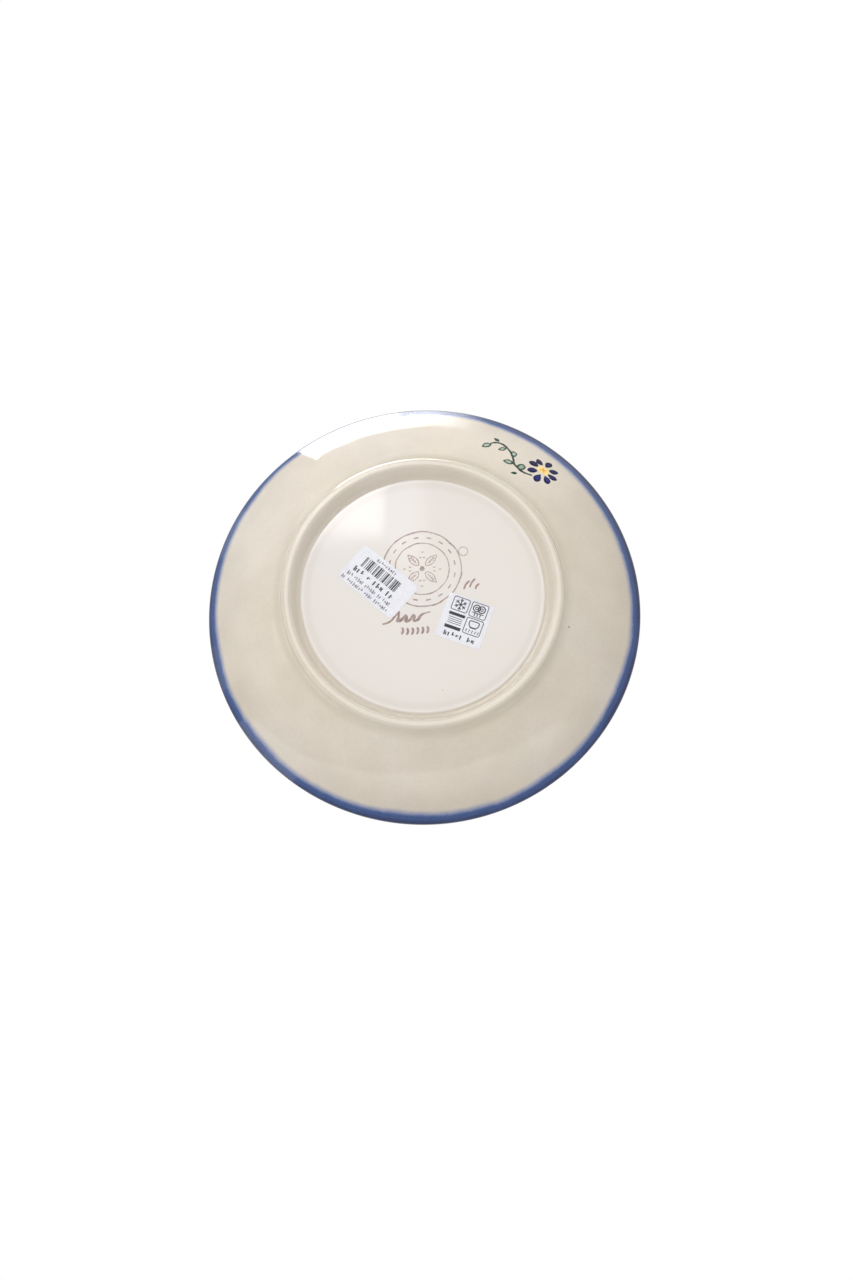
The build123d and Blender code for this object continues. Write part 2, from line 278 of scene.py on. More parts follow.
class Strokes:
    """Collects brush strokes and pads into one mesh. A grid of plan points with
    coordinates u along and v across becomes a closed, slightly domed skin."""

    def __init__(self, place):
        self.place = place  # (x, y, h) -> 3-D point, h above the surface
        self.verts, self.faces = [], []
        self.u, self.v, self.s = [], [], []

    def grid(self, rows, uv, top, bottom, wrap=False, seed=0.0):
        n, m = len(rows), len(rows[0])
        first = len(self.verts)
        for layer in (top, None):
            for i in range(n):
                for j in range(m):
                    x, y = rows[i][j]
                    u, v = uv[i][j]
                    h = layer(u, v) if layer else bottom
                    self.verts.append(self.place(x, y, h))
                    self.u.append(u)
                    self.v.append(v)
                    self.s.append(seed)
        low = first + n * m

        def at(i, j, base):
            return base + (i % n) * m + j

        last = n if wrap else n - 1
        for i in range(last):
            for j in range(m - 1):
                self.faces.append([at(i, j, first), at(i + 1, j, first), at(i + 1, j + 1, first), at(i, j + 1, first)])
                self.faces.append([at(i, j, low), at(i, j + 1, low), at(i + 1, j + 1, low), at(i + 1, j, low)])
            self.faces.append([at(i, 0, first), at(i, 0, low), at(i + 1, 0, low), at(i + 1, 0, first)])
            self.faces.append([at(i, m - 1, first), at(i + 1, m - 1, first), at(i + 1, m - 1, low), at(i, m - 1, low)])
        if not wrap:
            for j in range(m - 1):
                self.faces.append([at(0, j, first), at(0, j + 1, first), at(0, j + 1, low), at(0, j, low)])
                self.faces.append([at(n - 1, j, first), at(n - 1, j, low), at(n - 1, j + 1, low), at(n - 1, j + 1, first)])

    def make(self, name, sharp=50):
        obj = new_object(name, self.verts, self.faces, {"bu": self.u, "bv": self.v, "bs": self.s}, sharp)
        # the plan axes can be left- or right-handed, so the outside is set by bmesh
        import bmesh
        bm = bmesh.new()
        bm.from_mesh(obj.data)
        bmesh.ops.recalc_face_normals(bm, faces=bm.faces)
        bm.to_mesh(obj.data)
        bm.free()
        obj.data.polygons.foreach_set("use_smooth", [True] * len(obj.data.polygons))
        obj.data.set_sharp_from_angle(angle=rad(sharp))
        return obj


def spline(points, n, closed=False):
    """Smooth curve through the points (Catmull-Rom), n points long."""
    pts = [np.array(p, float) for p in points]
    out = []
    count = len(pts) if closed else len(pts) - 1
    for i in range(n):
        t = i / n * count if closed else i / (n - 1) * count
        k = min(int(t), count - 1)
        f = t - k
        if closed:
            a, b, c, d = (pts[(k + o) % len(pts)] for o in (-1, 0, 1, 2))
        else:
            b, c = pts[k], pts[k + 1]
            a = pts[k - 1] if k > 0 else 2 * b - c
            d = pts[k + 2] if k + 2 < len(pts) else 2 * c - b
        out.append(
            0.5 * ((2 * b) + (c - a) * f + (2 * a - 5 * b + 4 * c - d) * f * f + (3 * b - 3 * c + d - a) * f**3)
        )
    return out


def noise1(t, seed):
    """Smooth repeatable wobble between -1 and 1."""
    return (
        math.sin(t * 6.1 + seed * 12.9)
        + 0.6 * math.sin(t * 13.7 + seed * 4.3 + 1.1)
        + 0.35 * math.sin(t * 29.3 + seed * 7.7 + 2.3)
    ) / 1.95


def brush_line(pad, points, width, thick, n=40, m=6, closed=False, ends=0.4, rough=0.08, seed=0.0, bottom=-0.02):
    """A brushed line: a little uneven in width, thinner at its ends."""
    curve = spline(points, n, closed)
    rows, uv = [], []
    for i in range(n):
        a = curve[(i - 1) % n] if closed or i > 0 else curve[0]
        b = curve[(i + 1) % n] if closed or i < n - 1 else curve[-1]
        d = b - a
        d = d / max(1e-9, np.linalg.norm(d))
        nrm = np.array([-d[1], d[0]])
        u = i / (n if closed else n - 1)
        half = width / 2 * (1 + rough * noise1(u * 6, seed))
        if not closed:
            half *= ends + (1 - ends) * min(1.0, 4.5 * min(u, 1 - u) + 0.05) ** 0.5
        row, ruv = [], []
        for j in range(m + 1):
            v = -1 + 2 * j / m
            q = curve[i] + nrm * half * v
            row.append((q[0], q[1]))
            ruv.append((u, v))
        rows.append(row)
        uv.append(ruv)
    pad.grid(rows, uv, lambda u, v: thick * (0.35 + 0.65 * math.sqrt(max(0.0, 1 - v * v))), bottom, wrap=closed, seed=seed)


def brush_blob(pad, inner, outer, width, thick, shape, n=22, m=10, seed=0.0, bend=0.0, bottom=-0.02, rough=0.05):
    """A petal or leaf: shape(t) gives its half width along its length, 0 to 1."""
    a, b = np.array(inner, float), np.array(outer, float)
    d = b - a
    size = np.linalg.norm(d)
    d = d / size
    nrm = np.array([-d[1], d[0]])
    rows, uv = [], []
    for i in range(n + 1):
        t = 0.5 - 0.5 * math.cos(math.pi * i / n)
        half = max(0.012, width / 2 * shape(t) * (1 + rough * noise1(t * 3, seed)))
        mid = a + d * size * t + nrm * bend * size * math.sin(math.pi * t)
        row, ruv = [], []
        for j in range(m + 1):
            v = -math.cos(math.pi * j / m)
            q = mid + nrm * half * v
            row.append((q[0], q[1]))
            ruv.append((t, v))
        rows.append(row)
        uv.append(ruv)
    pad.grid(
        rows,
        uv,
        lambda u, v: thick * (0.25 + 0.75 * (max(0.0, 1 - v * v) * min(1.0, 6 * u * (1 - u) + 0.1)) ** 0.5),
        bottom,
        seed=seed,
    )


def petal_shape(t):
    return max(0.0, math.sin(math.pi * min(1.0, max(0.0, 0.08 + 0.92 * t)) ** 1.45)) ** 0.62


def round_shape(t):
    return max(0.0, 1 - (2 * t - 1) ** 2) ** 0.5


def leaf_shape(t):
    return (math.sin(math.pi * t**0.85)) ** 0.9 if 0 < t < 1 else 0.0


def place_under(x, y, h):
    r = math.hypot(x, y)
    e = 0.05
    s = (under_height(r + e) - under_height(r - e)) / (2 * e)
    k = math.hypot(1, s)
    nr, nz = s / k, -1 / k
    return warp(x + x / r * nr * h, y + y / r * nr * h, under_height(r) + nz * h)


def place_front(x, y, h):
    r = math.hypot(x, y)
    e = 0.05
    s = (front_height(r + e) - front_height(r - e)) / (2 * e)
    k = math.hypot(1, s)
    nr, nz = -s / k, 1 / k
    return warp(x + x / r * nr * h, y + y / r * nr * h, front_height(r) + nz * h)


def place_base(x, y, h):
    return (x, y, BASE_Z - h)


# ======================================================================
# Materials: all procedural
# ======================================================================
def srgb(r, g, b):
    def one(c):
        c /= 255
        return c / 12.92 if c <= 0.04045 else ((c + 0.055) / 1.055) ** 2.4

    return (one(r), one(g), one(b), 1.0)


class Nodes:
    def __init__(self, name):
        self.mat = bpy.data.materials.new(name)
        self.mat.use_nodes = True
        self.tree = self.mat.node_tree
        self.tree.nodes.clear()
        self.out = self.add("ShaderNodeOutputMaterial")

    def add(self, kind, **values):
        node = self.tree.nodes.new(kind)
        for k, val in values.items():
            setattr(node, k, val)
        return node

    def put(self, value, socket):
        if isinstance(value, bpy.types.NodeSocket):
            self.tree.links.new(value, socket)
        elif value is not None:
            socket.default_value = value

    def math(self, op, a, b=None, c=None, clamp=False):
        n = self.add("ShaderNodeMath", operation=op, use_clamp=clamp)
        self.put(a, n.inputs[0])
        self.put(b, n.inputs[1])
        self.put(c, n.inputs[2])
        return n.outputs[0]

    def mix(self, fac, a, b, blend="MIX"):
        n = self.add("ShaderNodeMix", data_type="RGBA", blend_type=blend, clamp_factor=True)
        self.put(fac, n.inputs[0])
        self.put(a, n.inputs[6])
        self.put(b, n.inputs[7])
        return n.outputs[2]

    def ramp(self, value, stops, ease="LINEAR"):
        """Smooth step map of a value: stops are (position, value) pairs."""
        n = self.add("ShaderNodeValToRGB")
        n.color_ramp.interpolation = ease
        els = n.color_ramp.elements
        while len(els) > 2:
            els.remove(els[-1])
        for i, (p, c) in enumerate(stops):
            el = els[i] if i < 2 else els.new(p)
            el.position = p
            el.color = (c, c, c, 1) if isinstance(c, (int, float)) else c
        self.put(value, n.inputs[0])
        return n.outputs[0]

    def range(self, value, a, b, c=0.0, d=1.0, smooth=True):
        n = self.add("ShaderNodeMapRange", interpolation_type="SMOOTHSTEP" if smooth else "LINEAR")
        self.put(value, n.inputs[0])
        for i, x in enumerate((a, b, c, d)):
            n.inputs[i + 1].default_value = x
        return n.outputs[0]

    def noise(self, scale, detail=3.0, rough=0.55, vector=None, distort=0.0, dims="3D", w=0.0):
        n = self.add("ShaderNodeTexNoise", noise_dimensions=dims)
        if vector is not None:
            self.put(vector, n.inputs["Vector"])
        n.inputs["Scale"].default_value = scale
        n.inputs["Detail"].default_value = detail
        n.inputs["Roughness"].default_value = rough
        n.inputs["Distortion"].default_value = distort
        return n.outputs["Fac"]

    def attribute(self, name):
        n = self.add("ShaderNodeAttribute", attribute_name=name)
        return n.outputs["Fac"]

    def position(self):
        """Object coordinates in millimetres, and the radius from the axis."""
        tc = self.add("ShaderNodeTexCoord").outputs["Object"]
        scale = self.add("ShaderNodeVectorMath", operation="SCALE")
        self.put(tc, scale.inputs[0])
        scale.inputs["Scale"].default_value = 1000.0
        mm = scale.outputs[0]
        sep = self.add("ShaderNodeSeparateXYZ")
        self.put(mm, sep.inputs[0])
        x, y, z = sep.outputs
        r = self.math("SQRT", self.math("ADD", self.math("MULTIPLY", x, x), self.math("MULTIPLY", y, y)))
        return mm, x, y, z, r


# Colours of the glazes and paints
CREAM = srgb(222, 213, 201)
CREAM_WARM = srgb(218, 208, 192)
# next two: a darker cream as painted shade for the cove outside the foot ring, and a lighter cream as painted light for
# the groove inside it
CREAM_FILLET_SHADE = srgb(202, 192, 172)
CREAM_GROOVE_LIGHT = srgb(230, 221, 207)
BASE_WHITE = srgb(236, 231, 227)
# pale land colour: bare clay, lightened as a painted highlight along the crest
BISCUIT_AND_HIGHLIGHT = srgb(241, 233, 222)
SPECK = (60.93, 15.34)  # millimetres, underside
BLUE_DEEP = srgb(14, 34, 82)
BLUE_MID = srgb(46, 76, 132)
BLUE_PALE = srgb(108, 124, 170)
NAVY = srgb(6, 6, 56)
NAVY_IN = srgb(26, 34, 122)
YELLOW = srgb(250, 214, 108)
ORANGE = srgb(214, 128, 52)
GREEN = srgb(24, 54, 44)
GREEN_PALE = srgb(164, 182, 160)
SEPIA = srgb(152, 112, 102)
PAPER = srgb(246, 246, 250)
PRINT = srgb(38, 38, 44)


def glaze_finish(n, colour, mm, rough=0.07, bump=1.0, base_rough=None, lines=None):
    """Clear glossy glaze with faint waviness and pin-sized orange peel."""
    wave = n.noise(0.035, 2.0, 0.5, mm)
    peel = n.noise(0.55, 2.0, 0.5, mm)
    fine = n.noise(2.6, 2.0, 0.5, mm)
    height = n.math("ADD", n.math("MULTIPLY", wave, 0.6), n.math("ADD", n.math("MULTIPLY", peel, 0.03), n.math("MULTIPLY", fine, 0.004)))
    if lines is not None:
        height = n.math("ADD", height, lines)
    b = n.add("ShaderNodeBump")
    b.inputs["Strength"].default_value = 0.35 * bump
    b.inputs["Distance"].default_value = 0.0006
    n.put(height, b.inputs["Height"])
    s = n.add("ShaderNodeBsdfPrincipled")
    n.put(colour, s.inputs["Base Color"])
    r = n.math("ADD", rough, n.math("MULTIPLY", n.noise(0.18, 3.0, 0.6, mm), 0.05))
    n.put(r if base_rough is None else base_rough, s.inputs["Roughness"])
    s.inputs["IOR"].default_value = 1.5
    s.inputs["Coat Weight"].default_value = 0.6
    s.inputs["Coat Roughness"].default_value = 0.035
    s.inputs["Coat IOR"].default_value = 1.5
    s.inputs["Specular IOR Level"].default_value = 0.35
    n.put(b.outputs[0], s.inputs["Normal"])
    n.put(b.outputs[0], s.inputs["Coat Normal"])
    return s


def cream_colour(n, mm, x, y, z, r):
    """Cream glaze: whiter on the recessed base, faintly mottled, with a few tiny dark specks.
    It also carries painted shade in the cove outside the foot ring, in a ring just inside the
    base edge and towards the lip, painted light in the groove inside the foot ring, and a
    painted highlight along the base edge."""
    mottle = n.noise(0.06, 4.0, 0.6, mm)
    cloud = n.noise(0.018, 2.0, 0.5, mm)
    col = n.mix(n.range(cloud, 0.35, 0.65), CREAM, CREAM_WARM)
    grain = n.noise(1.3, 2.0, 0.6, mm)
    tone = n.math("ADD", n.range(mottle, 0.3, 0.7, 0.962, 1.022), n.range(grain, 0.3, 0.7, -0.022, 0.03))
    tint = n.add("ShaderNodeCombineColor")
    for i in range(3):
        n.put(tone, tint.inputs[i])
    col = n.mix(1.0, col, tint.outputs[0], "MULTIPLY")
    below = n.math("LESS_THAN", z, BASE_Z + 2.4)
    # painted light in the groove inside the foot ring, painted shade in the cove outside it
    groove_light = n.math("MULTIPLY", n.range(r, 50.8, 52.4), n.range(r, 56.6, 54.4))
    fillet_shade = n.math("MULTIPLY", n.range(r, 57.3, 58.8), n.range(r, 64.2, 61.4))
    col = n.mix(n.math("MULTIPLY", n.math("MULTIPLY", groove_light, below), 0.45), col, CREAM_GROOVE_LIGHT)
    col = n.mix(n.math("MULTIPLY", n.math("MULTIPLY", fillet_shade, below), 0.30), col, CREAM_FILLET_SHADE)
    # painted shade: the cream is darkened towards the lip
    thick = n.range(r, 73.0, 90.0)
    lip_shade_tint = n.add("ShaderNodeCombineColor")
    for i, k in enumerate((0.10, 0.105, 0.11)):
        n.put(n.math("SUBTRACT", 1.0, n.math("MULTIPLY", thick, k)), lip_shade_tint.inputs[i])
    col = n.mix(1.0, col, lip_shade_tint.outputs[0], "MULTIPLY")
    # the base is whiter
    base = n.math("MULTIPLY", n.range(r, 52.0, 51.2), below)
    base_col = n.mix(n.range(n.noise(0.03, 3.0, 0.55, mm), 0.35, 0.65), BASE_WHITE, srgb(237, 230, 224))
    # painted shade: a faint darker ring just inside the base edge
    moat_shade = n.math("MULTIPLY", n.math("MULTIPLY", n.range(r, 46.6, 48.2), n.range(r, 50.0, 49.2)), 0.35)
    base_col = n.mix(moat_shade, base_col, srgb(226, 220, 212))
    # painted highlight: a paler ring along the base edge
    edge_highlight = n.math("MULTIPLY", n.range(r, 49.8, 50.6), 0.45)
    base_col = n.mix(edge_highlight, base_col, srgb(249, 246, 241))
    col = n.mix(base, col, base_col)
    # specks
    vor = n.add("ShaderNodeTexVoronoi", feature="F1")
    n.put(mm, vor.inputs["Vector"])
    vor.inputs["Scale"].default_value = 0.11
    keep = n.add("ShaderNodeSeparateColor")
    n.put(vor.outputs["Color"], keep.inputs[0])
    spot = n.math("MULTIPLY", n.range(vor.outputs["Distance"], 0.034, 0.018), n.math("GREATER_THAN", keep.outputs[0], 0.80))
    col = n.mix(n.math("MULTIPLY", spot, 0.45), col, srgb(128, 104, 82))
    # one darker iron speck beside the foot ring
    dx = n.math("SUBTRACT", x, SPECK[0])
    dy = n.math("SUBTRACT", y, SPECK[1])
    gap = n.math("SQRT", n.math("ADD", n.math("MULTIPLY", dx, dx), n.math("MULTIPLY", dy, dy)))
    iron = n.math("MULTIPLY", n.range(gap, 0.55, 0.2), n.math("LESS_THAN", z, FLOOR_Z - 1.0))
    return n.mix(n.math("MULTIPLY", iron, 0.7), col, srgb(92, 74, 70))


def make_cream():
    n = Nodes("cream_glaze_painted")
    mm, x, y, z, r = n.position()
    col = blue_over(n, mm, cream_colour(n, mm, x, y, z, r))
    # the standing land is wiped nearly free of glaze: silky and a little stained; its pale colour is partly bare clay
    # and partly a painted highlight along the crest
    land = n.math("MULTIPLY", n.math("MULTIPLY", n.range(z, 0.12, 0.01), n.math("GREATER_THAN", r, 50.0)), n.range(r, 57.7, 57.2))
    edge = n.math("MULTIPLY", n.range(n.noise(1.2, 3.0, 0.6, mm), 0.4, 0.65), 0.35)
    land_and_highlight_col = n.mix(edge, BISCUIT_AND_HIGHLIGHT, srgb(222, 209, 192))
    col = n.mix(n.math("MULTIPLY", land, 0.75), col, land_and_highlight_col)
    # turning lines left around the foot ring
    around = n.math("MULTIPLY", n.math("MULTIPLY", n.range(r, 58.0, 60.0), n.range(r, 68.5, 63.0)), n.math("LESS_THAN", z, BASE_Z + 2.6))
    turning = n.math("SINE", n.math("ADD", n.math("MULTIPLY", r, 4.6), n.math("MULTIPLY", n.noise(0.05, 2.0, 0.5, mm), 2.0)))
    s = glaze_finish(n, col, mm, lines=n.math("MULTIPLY", n.math("MULTIPLY", around, turning), 0.07))
    rough = n.mix(land, (0.07, 0.07, 0.07, 1), (0.24, 0.24, 0.24, 1))
    n.put(rough, s.inputs["Roughness"])
    n.put(n.math("SUBTRACT", 0.6, n.math("MULTIPLY", land, 0.35)), s.inputs["Coat Weight"])
    n.put(s.outputs[0], n.out.inputs[0])
    return n.mat


def blue_over(n, mm, cream):
    """Blue rim glaze over the cream: deepest on the lip, thinner inwards, with
    a soft uneven edge that runs out into the cream glaze. The attribute band is
    the distance in millimetres along the surface from the lip's outer line."""
    d = n.attribute("band")
    runs = n.noise(0.035, 3.0, 0.55, mm)
    grain = n.noise(1.1, 3.0, 0.6, mm)
    brush = n.noise(0.22, 2.0, 0.5, mm)
    shift = n.math("MULTIPLY", n.math("SUBTRACT", runs, 0.5), 3.4)
    shift = n.math("ADD", shift, n.math("MULTIPLY", n.math("SUBTRACT", brush, 0.5), 0.7))
    shift = n.math("ADD", shift, n.math("MULTIPLY", n.math("SUBTRACT", grain, 0.5), 0.35))
    dd = n.math("ADD", d, shift)
    col = n.mix(n.range(dd, 0.6, 3.6), BLUE_DEEP, BLUE_MID)
    col = n.mix(n.range(dd, 3.8, 5.6), col, BLUE_PALE)
    tone = n.range(grain, 0.25, 0.75, 0.93, 1.07)
    tint = n.add("ShaderNodeCombineColor")
    for i in range(3):
        n.put(tone, tint.inputs[i])
    col = n.mix(1.0, col, tint.outputs[0], "MULTIPLY")
    return n.mix(n.range(dd, 4.4, 7.9), col, cream)


def make_band():
    n = Nodes("blue_rim_glaze_painted")
    mm, x, y, z, r = n.position()
    s = glaze_finish(n, blue_over(n, mm, cream_colour(n, mm, x, y, z, r)), mm)
    n.put(s.outputs[0], n.out.inputs[0])
    return n.mat


def make_paint(name, edge_colour, inner_colour, edge_from=0.45, streak=0.35, wash=0.0, by_seed=False):
    """Brushed paint: it pools darker along the stroke's edge and streaks along
    it. With by_seed, the fraction of a stroke's seed says how light its middle
    is, so that no two petals are filled alike."""
    n = Nodes(name)
    mm, x, y, z, r = n.position()
    u, v, s = n.attribute("bu"), n.attribute("bv"), n.attribute("bs")
    comb = n.add("ShaderNodeCombineXYZ")
    n.put(n.math("MULTIPLY", u, 1.2), comb.inputs[0])
    n.put(n.math("MULTIPLY", v, 2.4), comb.inputs[1])
    n.put(n.math("MULTIPLY", s, 7.31), comb.inputs[2])
    streaks = n.noise(2.2, 3.0, 0.6, comb.outputs[0])
    ends = n.math("ABSOLUTE", n.math("SUBTRACT", n.math("MULTIPLY", u, 2.0), 1.0))
    border = n.math("MAXIMUM", n.math("ABSOLUTE", v), n.math("MULTIPLY", ends, 0.98))
    border = n.math("ADD", border, n.math("MULTIPLY", n.math("SUBTRACT", streaks, 0.5), streak))
    fac = n.range(border, edge_from, edge_from + 0.35)
    if by_seed:
        fac = n.math("SUBTRACT", 1.0, n.math("MULTIPLY", n.math("SUBTRACT", 1.0, fac), n.math("FRACT", s)))
    col = n.mix(fac, inner_colour, edge_colour)
    if wash:
        thin_paint = n.range(n.noise(0.9, 3.0, 0.6, mm), 0.52, 0.75)
        col = n.mix(n.math("MULTIPLY", thin_paint, wash), col, CREAM)
    b = glaze_finish(n, col, mm, rough=0.10)
    b.inputs["Specular IOR Level"].default_value = 0.12
    b.inputs["Coat Weight"].default_value = 0.14
    n.put(b.outputs[0], n.out.inputs[0])
    return n.mat


def make_yellow():
    n = Nodes("yellow_centre_painted")
    mm, x, y, z, r = n.position()
    d = n.attribute("bv")
    turn = n.attribute("bu")
    rays = n.math("COSINE", n.math("MULTIPLY", turn, 2 * math.pi * 4))
    rays = n.math("MULTIPLY", n.math("MAXIMUM", rays, 0.0), -0.34)
    wob = n.math("MULTIPLY", n.math("SUBTRACT", n.noise(1.3, 2.0, 0.5, mm), 0.5), 0.5)
    dd = n.math("ADD", n.math("ADD", d, wob), rays)
    col = n.mix(n.range(dd, 0.02, 0.42), ORANGE, YELLOW)
    col = n.mix(n.range(n.math("ADD", d, wob), 0.72, 1.1), col, srgb(250, 228, 168))
    b = glaze_finish(n, col, mm, rough=0.10)
    n.put(b.outputs[0], n.out.inputs[0])
    return n.mat


def make_sepia(name, strength=1.0):
    """Stamp colour under the glaze: broken, paler in places, never solid."""
    n = Nodes(name)
    mm, x, y, z, r = n.position()
    blot = n.noise(0.55, 3.0, 0.6, mm)
    fine = n.noise(3.2, 3.0, 0.65, mm)
    patch = n.noise(0.07, 2.0, 0.5, mm)
    f = n.math("ADD", n.range(blot, 0.34, 0.62, 0.0, 0.55), n.range(fine, 0.35, 0.65, 0.0, 0.35))
    f = n.math("ADD", f, n.range(patch, 0.35, 0.65, -0.1, 0.28))
    ink = n.mix(n.range(n.noise(0.22, 2.0, 0.5, mm), 0.4, 0.6), SEPIA, srgb(138, 106, 102))
    col = n.mix(n.math("MULTIPLY", f, 0.5 / strength, clamp=True), ink, BASE_WHITE)
    b = glaze_finish(n, col, mm)
    n.put(b.outputs[0], n.out.inputs[0])
    return n.mat


def make_paper():
    n = Nodes("label_paper_white")
    mm, x, y, z, r = n.position()
    fibre = n.noise(1.7, 4.0, 0.7, mm, distort=1.2)
    cloud = n.noise(0.12, 3.0, 0.5, mm)
    col = n.mix(n.range(fibre, 0.35, 0.7), PAPER, srgb(226, 227, 238))
    col = n.mix(n.range(cloud, 0.45, 0.7, 0.0, 0.5), col, srgb(228, 226, 240))
    b = n.add("ShaderNodeBump")
    b.inputs["Strength"].default_value = 0.25
    b.inputs["Distance"].default_value = 0.00005
    n.put(fibre, b.inputs["Height"])
    s = n.add("ShaderNodeBsdfPrincipled")
    n.put(col, s.inputs["Base Color"])
    s.inputs["Roughness"].default_value = 0.55
    s.inputs["Specular IOR Level"].default_value = 0.35
    n.put(b.outputs[0], s.inputs["Normal"])
    n.put(s.outputs[0], n.out.inputs[0])
    return n.mat


def make_print():
    n = Nodes("label_print_grey")
    mm, x, y, z, r = n.position()
    dots = n.noise(5.0, 2.0, 0.6, mm)
    wear = n.noise(0.8, 3.0, 0.6, mm)
    col = n.mix(n.math("ADD", n.range(dots, 0.4, 0.8, 0.0, 0.3), n.range(wear, 0.5, 0.8, 0.0, 0.3)), PRINT, srgb(132, 132, 140))
    s = n.add("ShaderNodeBsdfPrincipled")
    n.put(col, s.inputs["Base Color"])
    s.inputs["Roughness"].default_value = 0.6
    n.put(s.outputs[0], n.out.inputs[0])
    return n.mat


M_CREAM = make_cream()
M_BAND = make_band()
M_NAVY = make_paint("navy_petals_painted", NAVY, NAVY_IN, 0.38, 0.4, by_seed=True)
M_GREEN = make_paint("green_leaf_painted", srgb(66, 98, 82), GREEN_PALE, 0.40, 0.6, 0.40)
M_GREEN_LINE = make_paint("green_line_painted", GREEN, srgb(48, 82, 66), 0.3, 0.4, 0.18)
M_YELLOW = make_yellow()
M_SEPIA = make_sepia("sepia_stamp_painted")
M_BRUSH = make_sepia("sepia_brush_painted", 1.8)
M_PAPER = make_paper()
M_PRINT = make_print()


def finish(obj, mats, replaced):
    for m in mats if isinstance(mats, (list, tuple)) else [mats]:
        obj.data.materials.append(m)
    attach(obj, "root")
    if replaced:
        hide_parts(*replaced)
    return obj


# ======================================================================
# Plate body and rim band
# ======================================================================
STEPS = 540
body_profile = chain(
    [(0.0, BASE_Z, 0, -1)] + [(r, BASE_Z, 0, -1) for r in (4, 9, 15, 21, 27, 33, 39, 44, 48, 50, 50.6)],
    arc(on_left, c_edge, EDGE_R, 0, 40, 5),
    arc(on_right, c_groove, GROOVE_R, 40, -FS_IN, 10),
    seg(p3, p4, 5),
    arc(on_left, c_in, CREST_IN_R, -FS_IN, 0, 9),
    seg(p5, p6, 3),
    arc(on_left, c_out, CREST_OUT_R, 0, FS_OUT, 9),
    seg(p7, p8, 2),
    arc(on_right, c_fil, FILLET_R, FS_OUT, SH_A0, 8),
    arc(on_left, c_sh, SH_R, SH_A0, WALL_A0, 6),
    arc(on_left, c_wall, WALL_R, WALL_A0, A_BU, 16),
    [on_left(c_wall, WALL_R - BAND_T, A_BU) + (0, 0)],
    arc(on_left, c_wall, WALL_R - BAND_T, A_BU, A1, 4),
    arc(on_left, c_lip, LIP_R - BAND_T, A1, A1 + 180, 14),
    arc(on_left, c_front, FRONT_R + BAND_T, A1, A_BF, 4),
    [on_left(c_front, FRONT_R, A_BF) + (0, 0)],
    arc(on_left, c_front, FRONT_R, A_BF, WELL_A, 12),
    arc(on_left, c_well, WELL_R, WELL_A, 0, 10),
    [(r, FLOOR_Z, 0, 1) for r in (54, 49, 43, 36, 29, 22, 15, 9, 4)] + [(0.0, FLOOR_Z, 0, 1)],
)


def from_lip(q):
    """Distance in millimetres along the surface from the lip's outer line."""
    r, z = q[0], q[1]
    if r < 75:
        return 99.0
    a = math.degrees(math.atan2(r - c_lip[0], c_lip[1] - z)) % 360
    if math.dist((r, z), c_lip) < LIP_R + 0.01 and A1 - 1 < a < A1 + 181:
        return LIP_R * abs(rad(a - 90))
    if z < under_height(min(r, 94.0)) + 1.5:
        a = math.degrees(math.asin((r - c_wall[0]) / WALL_R))
        return LIP_R * rad(90 - A1) + WALL_R * rad(A1 - a)
    a = math.degrees(math.asin((r - c_front[0]) / FRONT_R))
    return LIP_R * rad(A1 + 90) + FRONT_R * rad(A1 - a)


body = lathe("glazed_stoneware_body", body_profile, STEPS, False, {"band": [from_lip(q) for q in body_profile]}, sharp=48)
finish(body, M_CREAM, ["stoneware_body"])

ring_profile = chain(
    arc(on_left, c_wall, WALL_R, A_BU, A1, 8),
    arc(on_left, c_lip, LIP_R, A1, A1 + 180, 26),
    arc(on_left, c_front, FRONT_R, A1, A_BF, 8),
) + chain(
    arc(on_left, c_front, FRONT_R + BAND_T, A_BF, A1, 4),
    arc(on_left, c_lip, LIP_R - BAND_T, A1 + 180, A1, 14),
    arc(on_left, c_wall, WALL_R - BAND_T, A1, A_BU, 4),
)
band = lathe("rim_band_blue_glaze", ring_profile, STEPS, True, {"band": [from_lip(q) for q in ring_profile]}, sharp=48)
finish(band, M_BAND, ["rim_band"])

# ======================================================================
# Daisy and vine on the underside
# ======================================================================
box_lo, box_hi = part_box("back_daisy_centre")
DC = ((box_lo.x + box_hi.x) / 2 / MM, (box_lo.y + box_hi.y) / 2 / MM)

# inner end, outer end, width, bend, fullness towards the tip, light middle
PETALS = [
    ((-2.1, -1.9), (-6.1, -4.0), 2.80, 0.05, 1.1, 0.10),
    ((-0.1, -3.0), (-2.4, -6.3), 2.45, -0.05, 1.1, 0.12),
    ((1.3, -2.2), (4.2, -4.95), 2.8, -0.06, 1.25, 0.08),
    ((2.55, -0.35), (6.8, 0.03), 2.45, 0.03, 1.1, 0.22),
    ((1.95, 2.0), (5.85, 4.5), 2.45, 0.05, 1.2, 0.45),
    ((0.55, 3.2), (1.65, 7.6), 2.85, -0.04, 1.35, 0.85),
    ((-1.4, 2.7), (-4.1, 7.15), 3.1, 0.02, 1.5, 0.95),
    ((-2.6, 0.78), (-7.25, 1.25), 2.8, 0.02, 1.15, 0.35),
]


def petal(full):
    def shape(t):
        t = min(1.0, max(0.0, t))
        return max(0.0, math.sin(math.pi * t**full)) ** 0.6

    return shape


pad = Strokes(place_under)
for k, (i, o, w, bend, full, light) in enumerate(PETALS):
    brush_blob(pad, (DC[0] + i[0], DC[1] + i[1]), (DC[0] + o[0] * 1.02, DC[1] + o[1] * 1.02), w * 1.10, 0.11, petal(full), n=26, m=12, seed=k + 1.0 + light, bend=bend)
finish(pad.make("back_daisy_petals_brushed"), M_NAVY, ["back_daisy_petals"])


